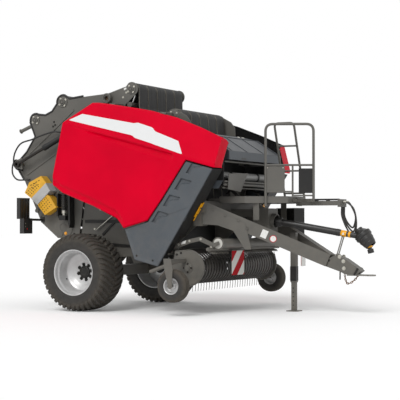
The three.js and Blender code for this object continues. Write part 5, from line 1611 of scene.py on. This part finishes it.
def panel_shape():
    """Left front panel. The face is a ruled grid between the front edge (nose to lower corner) and the
    rear edge: y = cover face less a rounding within 14 mm of the rim, less STEP_DEPTH inside each of
    four step recesses and less a shallow fold across the foot of the panel. The back is level behind
    the recesses."""
    front = resampled([(1980, 1834), (1197, 602)], 190)
    rear = resampled([(1599, 1935), (1432, 1700), (1256, 1448), (1046, 1174), (700, 1078), (844, 686)], 190)
    w = np.linspace(0, 1, 76)[None, :]
    x = rear[:, :1] * (1 - w) + front[:, :1] * w
    z = rear[:, 1:] * (1 - w) + front[:, 1:] * w
    d = inside_polygon(x, z, PANEL)
    y = COVER_Y - 1 - 14 * (1 - smooth(0, 14, d)) ** 2
    for sx, sz in STEPS:
        tread = [(sx - 4, sz - 6), (sx + 92, sz + 134), (sx + 244, sz + 96), (sx + 226, sz + 66),
                 (sx + 100, sz + 60), (sx + 46, sz - 16)]
        y = y - STEP_DEPTH * smooth(-2, 7, inside_polygon(x, z, tread))
    fold = (z - 1120) - 0.32 * (x - 900)
    y = y - 7 * smooth(-14, 14, -fold) * smooth(0, 60, d)
    rows, cols = x.shape
    outer = np.stack([x, y, z], axis=-1)
    inner = np.stack([x, np.minimum(y - 8, COVER_Y - 38), z], axis=-1)
    n = rows * cols
    faces = grid_faces(rows, cols)
    back = [[k + n for k in f[::-1]] for f in faces]
    rim = np.concatenate([np.arange(cols), np.arange(1, rows) * cols + cols - 1,
                          (rows - 1) * cols + np.arange(cols - 2, -1, -1),
                          np.arange(rows - 2, 0, -1) * cols])
    nxt = np.roll(rim, -1)
    walls = np.stack([rim, rim + n, nxt + n, nxt], axis=-1).tolist()
    return np.concatenate([outer.reshape(-1, 3), inner.reshape(-1, 3)]), faces + back + walls


def edge_wall(points, depth, thick, start=12):
    """Wall behind the rim of a panel along a line of (x, z), from `start` to `depth` behind the face and
    `thick` towards the left of the line."""
    line = resampled(points, 40)
    step = np.gradient(line, axis=0)
    out = line + thick * unit(np.stack([-step[:, 1], step[:, 0]], axis=-1))
    return plate(np.concatenate([line, out[::-1]]), COVER_Y - depth, COVER_Y - start)


class BALER_OT_panels(bpy.types.Operator):
    """Front panels with their step recesses, and their returns in black as painted shade"""
    bl_idname = "baler.panels"
    bl_label = "Front panels"

    def execute(self, context):
        """Build it."""
        face = panel_shape()
        walls = joined(edge_wall([(1197, 602), (1980, 1834)], PANEL_DEPTH, 11),
                       edge_wall([(1599, 1935), (1432, 1700), (1256, 1448), (1046, 1174),
                                  (700, 1078)][::-1], PANEL_DEPTH, -11),
                       edge_wall([(700, 1078), (844, 686), (1197, 602)], PANEL_DEPTH, 11),
                       edge_wall([(1450, 1000), (1980, 1834)], 280, 11, PANEL_DEPTH))
        mount = joined(*[block(x, x + 60, 652.3, 1126, z, z + 40) for x, z in ((1150, 1000), (1500, 1500))])
        for side, put in SIDES:
            piece(f"{side}_panel_face", put(face), "grey_panel", flat_over=28,
                  replaces=[f"{side}_front_panel"])
            # The walls along the panel rims are black: painted shade of the grey panels' returns.
            piece(f"{side}_panel_returns", put(joined(walls, mount)), "black_paint", bevel=1)
            heads = bolts([(880, 1143, 740), (1120, 1143, 680)], (0, 1, 0), 16, 6)
            piece(f"{side}_panel_screws", put(heads), "black_paint", shade=False)
            along = np.array([0.536, 0.0, 0.844])
            front = np.array([1197.0, 0.0, 602.0])
            strips = joined(*[beam(front + a * along + (10, y, -6), front + b * along + (10, y, -6), wide,
                                   4)
                              for a, b, y, wide in ((700, 790, 905, 26), (760, 960, 936, 34),
                                                    (800, 880, 896, 26), (900, 975, 896, 26))])
            piece(f"{side}_panel_marks", put(strips), "yellow_film")
        return {"FINISHED"}


class BALER_OT_netbox(bpy.types.Operator):
    """Net box: lid trims, painted shade of the handle slot, struts, feed rollers and pipes"""
    bl_idname = "baler.netbox"
    bl_label = "Net box"

    def execute(self, context):
        """Build it."""
        seam = joined(*[beam((1706, y, 2290), (2028, y, 2085), 16, 7) for y in (-700, -250, 250, 700)],
                      beam((1700, -784, 2293), (1700, 784, 2293), 12, 6))
        piece("lid_ribs", seam, "lid_dark", "net_lid", bevel=2)
        hinges = joined(*[bar((1516, y, 2326), (1516, y + 60, 2326), 19, 20)
                          for y in (-640, -500, 480, 620)])
        piece("lid_hinges", hinges, "zinc", "net_lid", flat_over=35)
        roll = bar((1830, -862, 1770), (1830, 862, 1770), 52, 40)
        piece("net_feed_roller", roll, "roller_grey", flat_over=35)
        collars = joined(*[bar((1830, y, 1770), (1830, y + 40, 1770), 60, 40)
                           for y in (-858, -420, 380, 818)])
        piece("net_roller_collars", collars, "black_paint", flat_over=35)
        pipes = joined(bar((1966, -780, 1690), (1966, 780, 1690), 13, 16),
                       bar((1966, -780, 1945), (1966, 780, 1945), 13, 16),
                       bar((1960, -780, 1650), (1960, 780, 1650), 17, 16),
                       bar((1940, -780, 1610), (1940, 780, 1610), 12, 16))
        shield = plate([(-700, 1790), (-150, 1812), (-360, 1560), (-730, 1590)], 1980, 1988, plane="yz")
        piece("net_front_shield", shield, "frame_paint", bevel=3)
        front = block(2029, 2037, -783, 783, 1968, 2074)
        piece("lid_front_strip", front, "grey_panel", "net_lid", bevel=3)
        # Thin black block on the lid front: painted shade of the handle slot.
        slot_shade = block(2036, 2038.5, -430, -300, 1976, 2002)
        piece("lid_grip", slot_shade, "guard_plastic", "net_lid", bevel=1)
        piece("net_box_pipes", pipes, "frame_paint", flat_over=35)
        strut = bar((1500, -808, 1760), (1760, -808, 1890), 13, 20)
        piece("net_box_strut", both(strut), "black_paint", flat_over=35)
        thin = bar((1760, -808, 1890), (1900, -808, 1955), 6, 16)
        piece("net_box_strut_rod", both(thin), "chrome", flat_over=35)
        sheet = plate([(1740, 1700), (1960, 1700), (1900, 1600), (1700, 1600)], -818, -812)
        piece("net_box_side_sheets", both(sheet), "grey_panel", bevel=1)
        lines = [catmull([(1440, y, 1560), (1560, y - 20, 1640), (1700, y - 6, 1655), (1830, y + 18, 1600),
                          (1980, y + 4, 1480)], 40) for y in (-420, -380, -340, 300, 340)]
        pressure = joined(*[tube(line, 9, 12) for line in lines])
        piece("chamber_lines", pressure, "hose_rubber", flat_over=60)
        return {"FINISHED"}


# ------------------------------------------------------------------ platform, rail, ladder
class BALER_OT_platform(bpy.types.Operator):
    """Tread sheet, smooth guard rail and ladder"""
    bl_idname = "baler.platform"
    bl_label = "Platform"

    def execute(self, context):
        """Build it."""
        deck = plate([(2120, -520), (2612, -277), (2612, 277), (2120, 520), (1768, 520), (1768, -520)],
                     1500.2, 1503,
                     plane="xy")
        piece("platform_tread", deck, "tread", bevel=1)
        a, b, top = np.array([2377.0, -436.0]), np.array([2931.0, -176.0]), 2425

        def on_rail(x):
            return a[1] + (b[1] - a[1]) * (x - a[0]) / (b[0] - a[0])

        hoop = tube(rounded_path([(*a, 1375), (*a, top), (*b, top), (*b, 1445)], 96, 14), 17, 24)
        mid = bar((*a, 1900), (*b, 1900), 13, 20)
        x = 2690
        inner = bar((x, on_rail(x), 1500), (x, on_rail(x), 1900), 12, 20)
        low = joined(bar((*a, 1560), (x, on_rail(x), 1560), 10, 16),
                     bar((x, on_rail(x), 1510), (*b, 1510), 10, 16))
        foot = joined(beam((2660, -80, 1450), (*b, 1450), 50, 40),
                      block(2619.3, 2680, -120, -30, 1430, 1470))
        plates = [beam((x0, on_rail(x0) + 3, (z0 + z1) / 2), (x1, on_rail(x1) + 3, (z0 + z1) / 2), 7,
                       z1 - z0)
                  for x0, x1, z0, z1 in ((2383, 2597, 1543, 1884), (2758, 2925, 1541, 1857))]
        piece("rail_hoop", joined(hoop, mid, inner, low, foot), "frame_paint", flat_over=35,
              replaces=["guard_rail"])
        piece("rail_plate", plates[0], "frame_paint", bevel=2)
        piece("rail_dark_plate", plates[1], "black_paint", bevel=2)
        holes = joined(*[bar((x0, on_rail(x0) - 2, z), (x0, on_rail(x0) - 4, z), 9, 16)
                         for x0 in (2400, 2580) for z in (1560, 1866)])
        piece("rail_screws", holes, "zinc")
        t, f, width = (2160.0, 300.0, 2490.0), (2160.0, 660.0, 1480.0), 285
        frame_line = rounded_path([f, t, (t[0] + width, t[1], t[2]), (f[0] + width, f[1], f[2])], 60, 12)
        rungs = [bar((t[0], t[1] + (t[2] - z) * (f[1] - t[1]) / (t[2] - f[2]), z),
                     (t[0] + width, t[1] + (t[2] - z) * (f[1] - t[1]) / (t[2] - f[2]), z), 12, 20)
                 for z in (1560, 1860, 2190)]
        bracket = block(t[0] - 12, t[0] + width + 12, 340, 664, 1500.3, 1512)
        piece("ladder_frame", joined(tube(frame_line, 15, 22), *rungs, bracket), "frame_paint",
              flat_over=35, replaces=["ladder"])
        return {"FINISHED"}


# ------------------------------------------------------------------ chamber sides
GATE_HINGE = (140, 0, 2837)
COVER_HINGES = [(340, 2725), (1120, 2580)]      # x and z of each side's two cover hinges


class BALER_OT_chamber(bpy.types.Operator):
    """Hinge rims, arm label, bolts and fittings on the chamber's side plates"""
    bl_idname = "baler.chamber"
    bl_label = "Chamber"

    def execute(self, context):
        """Build it."""
        self.frame()
        rim = lathe([(46, 697), (66, 697), (66, 704), (62, 707), (50, 707), (46, 704)], 48, GATE_HINGE)
        piece("hinge_rims", both(rim), "frame_paint", "tailgate", flat_over=35)
        core = disc_lathe([(0, 655.5), (31, 655.5), (31, 659), (0, 659)], 32, GATE_HINGE)
        piece("hinge_bores", both(core), "rust")
        heads = [(425, 652, 2903), (375, 652, 2841),
                 (-73, 652, 1077), (120, 652, 900), (400, 652, 860), (700, 652, 900), (-100, 652, 1400),
                 (1180, 652, 2440), (1320, 652, 2300), (1370, 652, 2000)]
        row = bolts(heads, (0, 1, 0), 16, 9)
        piece("chamber_bolts", both(row), "zinc", shade=False)
        tag = plate([(392, 2934), (430, 2950), (422, 2974), (384, 2958)], -653.6, -652.2)
        piece("arm_tag", tag, "white_film")
        ribs = joined(beam((-220, 661, 1180), (560, 661, 1180), 18, 40),
                      beam((-170, 661, 900), (900, 661, 820), 18, 36),
                      beam((620, 661, 820), (760, 661, 1220), 18, 40),
                      beam((60, 661, 1000), (420, 661, 1330), 14, 30))
        piece("chamber_ribs", both(ribs), "black_paint", bevel=2)
        link = joined(bar((-30, 684, 1060), (330, 684, 1330), 8, 14),
                      bar((30, 684, 1330), (420, 684, 1500), 8, 14))
        piece("chamber_links", both(link), "zinc", flat_over=35)
        piece("left_reflector_back", block(2563, 2569.5, 260, 386, 592, 718), "red_film")
        return {"FINISHED"}

    def frame(self):
        """Fixed side plates with their hinge pins, cylinder pins, cover hinges, ties and floor."""
        outline = np.concatenate([
            [(-300, 880), (-225, 1500), (-40, 2200), (70, 2700), (92, 2790)],
                                  arc(GATE_HINGE[0], GATE_HINGE[2], 66, 190, 100, 16),
            [(420, 2985)], arc(*TOP_ROLLER[:2], 96, 120, -38, 24), [(405, 2735), (440, 2590), (1010, 2450)],
            [(1075, 2500)], arc(*FRONT_ROLLER[:2], 96, 170, 40, 16),
                                  [(1340, 2560), (1400, 2480), (1430, 1960), (1450, 1655),
             (1559.7, 1610), (1559.7, 1180), (1260, 930), (1130, 760), (300, 700), (-180, 760)]])
        slab = plate(outline, 640, 652)
        socket = lathe([(32, 654), (32, 642), (42, 642), (42, 704), (32, 704)], 40, GATE_HINGE)
        web = disc_lathe([(0, 642), (33, 642), (33, 655), (0, 655)], 32, GATE_HINGE)
        pin = joined(bar((250, 642, 2690), (250, 766, 2690), 46, 32),
                     bar((250, 762, 2690), (250, 826, 2690), 24, 28))
        (x0, z0), (x1, z1) = COVER_HINGES
        slope = (z1 - z0) / (x1 - x0)
        ears = []
        for x, z in COVER_HINGES:
            for dx in (-38, 28):
                zc = z - 33 * slope if dx < 0 else z + 33 * slope
                ears += [block(x + dx, x + dx + 10, 828, 868, zc - 18, zc + 18),
                         bar((x + dx, 868, zc), (x + dx + 10, 868, zc), 18, 24)]
            ears += [block(x - 38, x + 38, 642, 836, z - 24, z + 20),
                     block(x - 38, x + 38, 642, 660, z - 140, z + 20),
                     bar((x - 34, 868, z - 34 * slope), (x + 34, 868, z + 34 * slope), 11, 20)]
        lift = bar((1150, 642, 830), (1150, 702, 830), 26, 28)
        side = joined(slab, socket, web, pin, *ears, lift)
        ties = [bar((x, -644, z), (x, 644, z), r, 24)
                for x, z, r in ((-150, 1080, 38), (470, 2740, 38), (820, 2600, 34), (700, 780, 44))]
        piece("chamber_sides", joined(side, mirrored(side), *ties, block(-120, 1080, -644, 644, 742, 752)),
              "frame_paint", bevel=1.2, flat_over=35, replaces=["chamber_frame"])


NODE_FINISH = {
    "frame_paint": ["chamber_frame", "tailgate_frame", "axle", "drawbar", "jack_sleeve", "jack_leg",
                    "gearbox", "platform", "guard_rail", "ladder", "hose_arm", "pickup_frame", "windguard"],
    # feed_housing and valve_box are black partly as their paint and partly as painted shade of the dark
    # space between the panels and the drawbar.
    "black_paint": ["top_roller", "front_roller", "lower_roller", "feed_housing", "valve_box", "net_box",
                    "right_cylinder_barrel", "left_cylinder_barrel"],
    "belt": ["front_belts", "rear_belts"],
    "red_gelcoat": ["right_side_cover", "left_side_cover"],
    "grey_panel": ["right_front_panel", "left_front_panel"],
    "lid_dark": ["net_box_lid"],
    "tyre": ["right_tyre", "left_tyre", "right_gauge_wheel", "left_gauge_wheel"],
    "silver_lacquer": ["right_rim", "left_rim", "crop_roller"],
    "bare_steel": ["hitch_eye", "shaft_stand"],
    "strap_grey": ["chock_holder"],
    "chrome": ["right_cylinder_rod", "left_cylinder_rod"],
    "chock_yellow": ["upper_chock", "lower_chock"],
    "guard_plastic": ["drive_shaft", "drive_yoke", "right_tail_light", "left_tail_light"],
    "rusty_rod": ["pickup_reel"],
    "white_film": ["left_reflector"],
}


class BALER_OT_finishes(bpy.types.Operator):
    """Paint, plating and rubber on the pieces of the frame"""
    bl_idname = "baler.finishes"
    bl_label = "Finishes"

    def execute(self, context):
        """Build it."""
        for name, nodes in NODE_FINISH.items():
            for node in nodes:
                materials = frame["nodes"][node].data.materials
                materials.clear()
                materials.append(finish(name))
        return {"FINISHED"}


# ------------------------------------------------------------------ add-on
OPERATORS = (BALER_OT_stage, BALER_OT_hoses, BALER_OT_finishes, BALER_OT_wheels, BALER_OT_covers,
             BALER_OT_belts, BALER_OT_driveline, BALER_OT_drawbar, BALER_OT_pickup, BALER_OT_windguard,
             BALER_OT_tailgate, BALER_OT_panels, BALER_OT_netbox, BALER_OT_platform, BALER_OT_chamber)


class BALER_PT_panel(bpy.types.Panel):
    """Lists the pieces in the 3D view's sidebar"""
    bl_idname = "BALER_PT_panel"
    bl_label = "Round baler"
    bl_space_type = "VIEW_3D"
    bl_region_type = "UI"
    bl_category = "Baler"

    def draw(self, context):
        """Colours, sizes, then a button for each group of pieces."""
        layout = self.layout
        for group in (context.scene.baler_colours, context.scene.baler_sizes):
            for key in group.__annotations__:
                layout.prop(group, key)
        for operator in OPERATORS:
            layout.operator(operator.bl_idname)


CLASSES = (BalerColours, BalerSizes, *OPERATORS, BALER_PT_panel)


def register():
    """Make the classes and their properties known."""
    for cls in CLASSES:
        bpy.utils.register_class(cls)
    bpy.types.Scene.baler_colours = bpy.props.PointerProperty(type=BalerColours)
    bpy.types.Scene.baler_sizes = bpy.props.PointerProperty(type=BalerSizes)


def unregister():
    """Take them away again."""
    del bpy.types.Scene.baler_sizes
    del bpy.types.Scene.baler_colours
    for cls in reversed(CLASSES):
        bpy.utils.unregister_class(cls)


def main():
    """Build everything in order."""
    register()
    for operator in OPERATORS:
        group, name = operator.bl_idname.split(".")
        getattr(getattr(bpy.ops, group), name)()


if __name__ == "__main__":
    main()
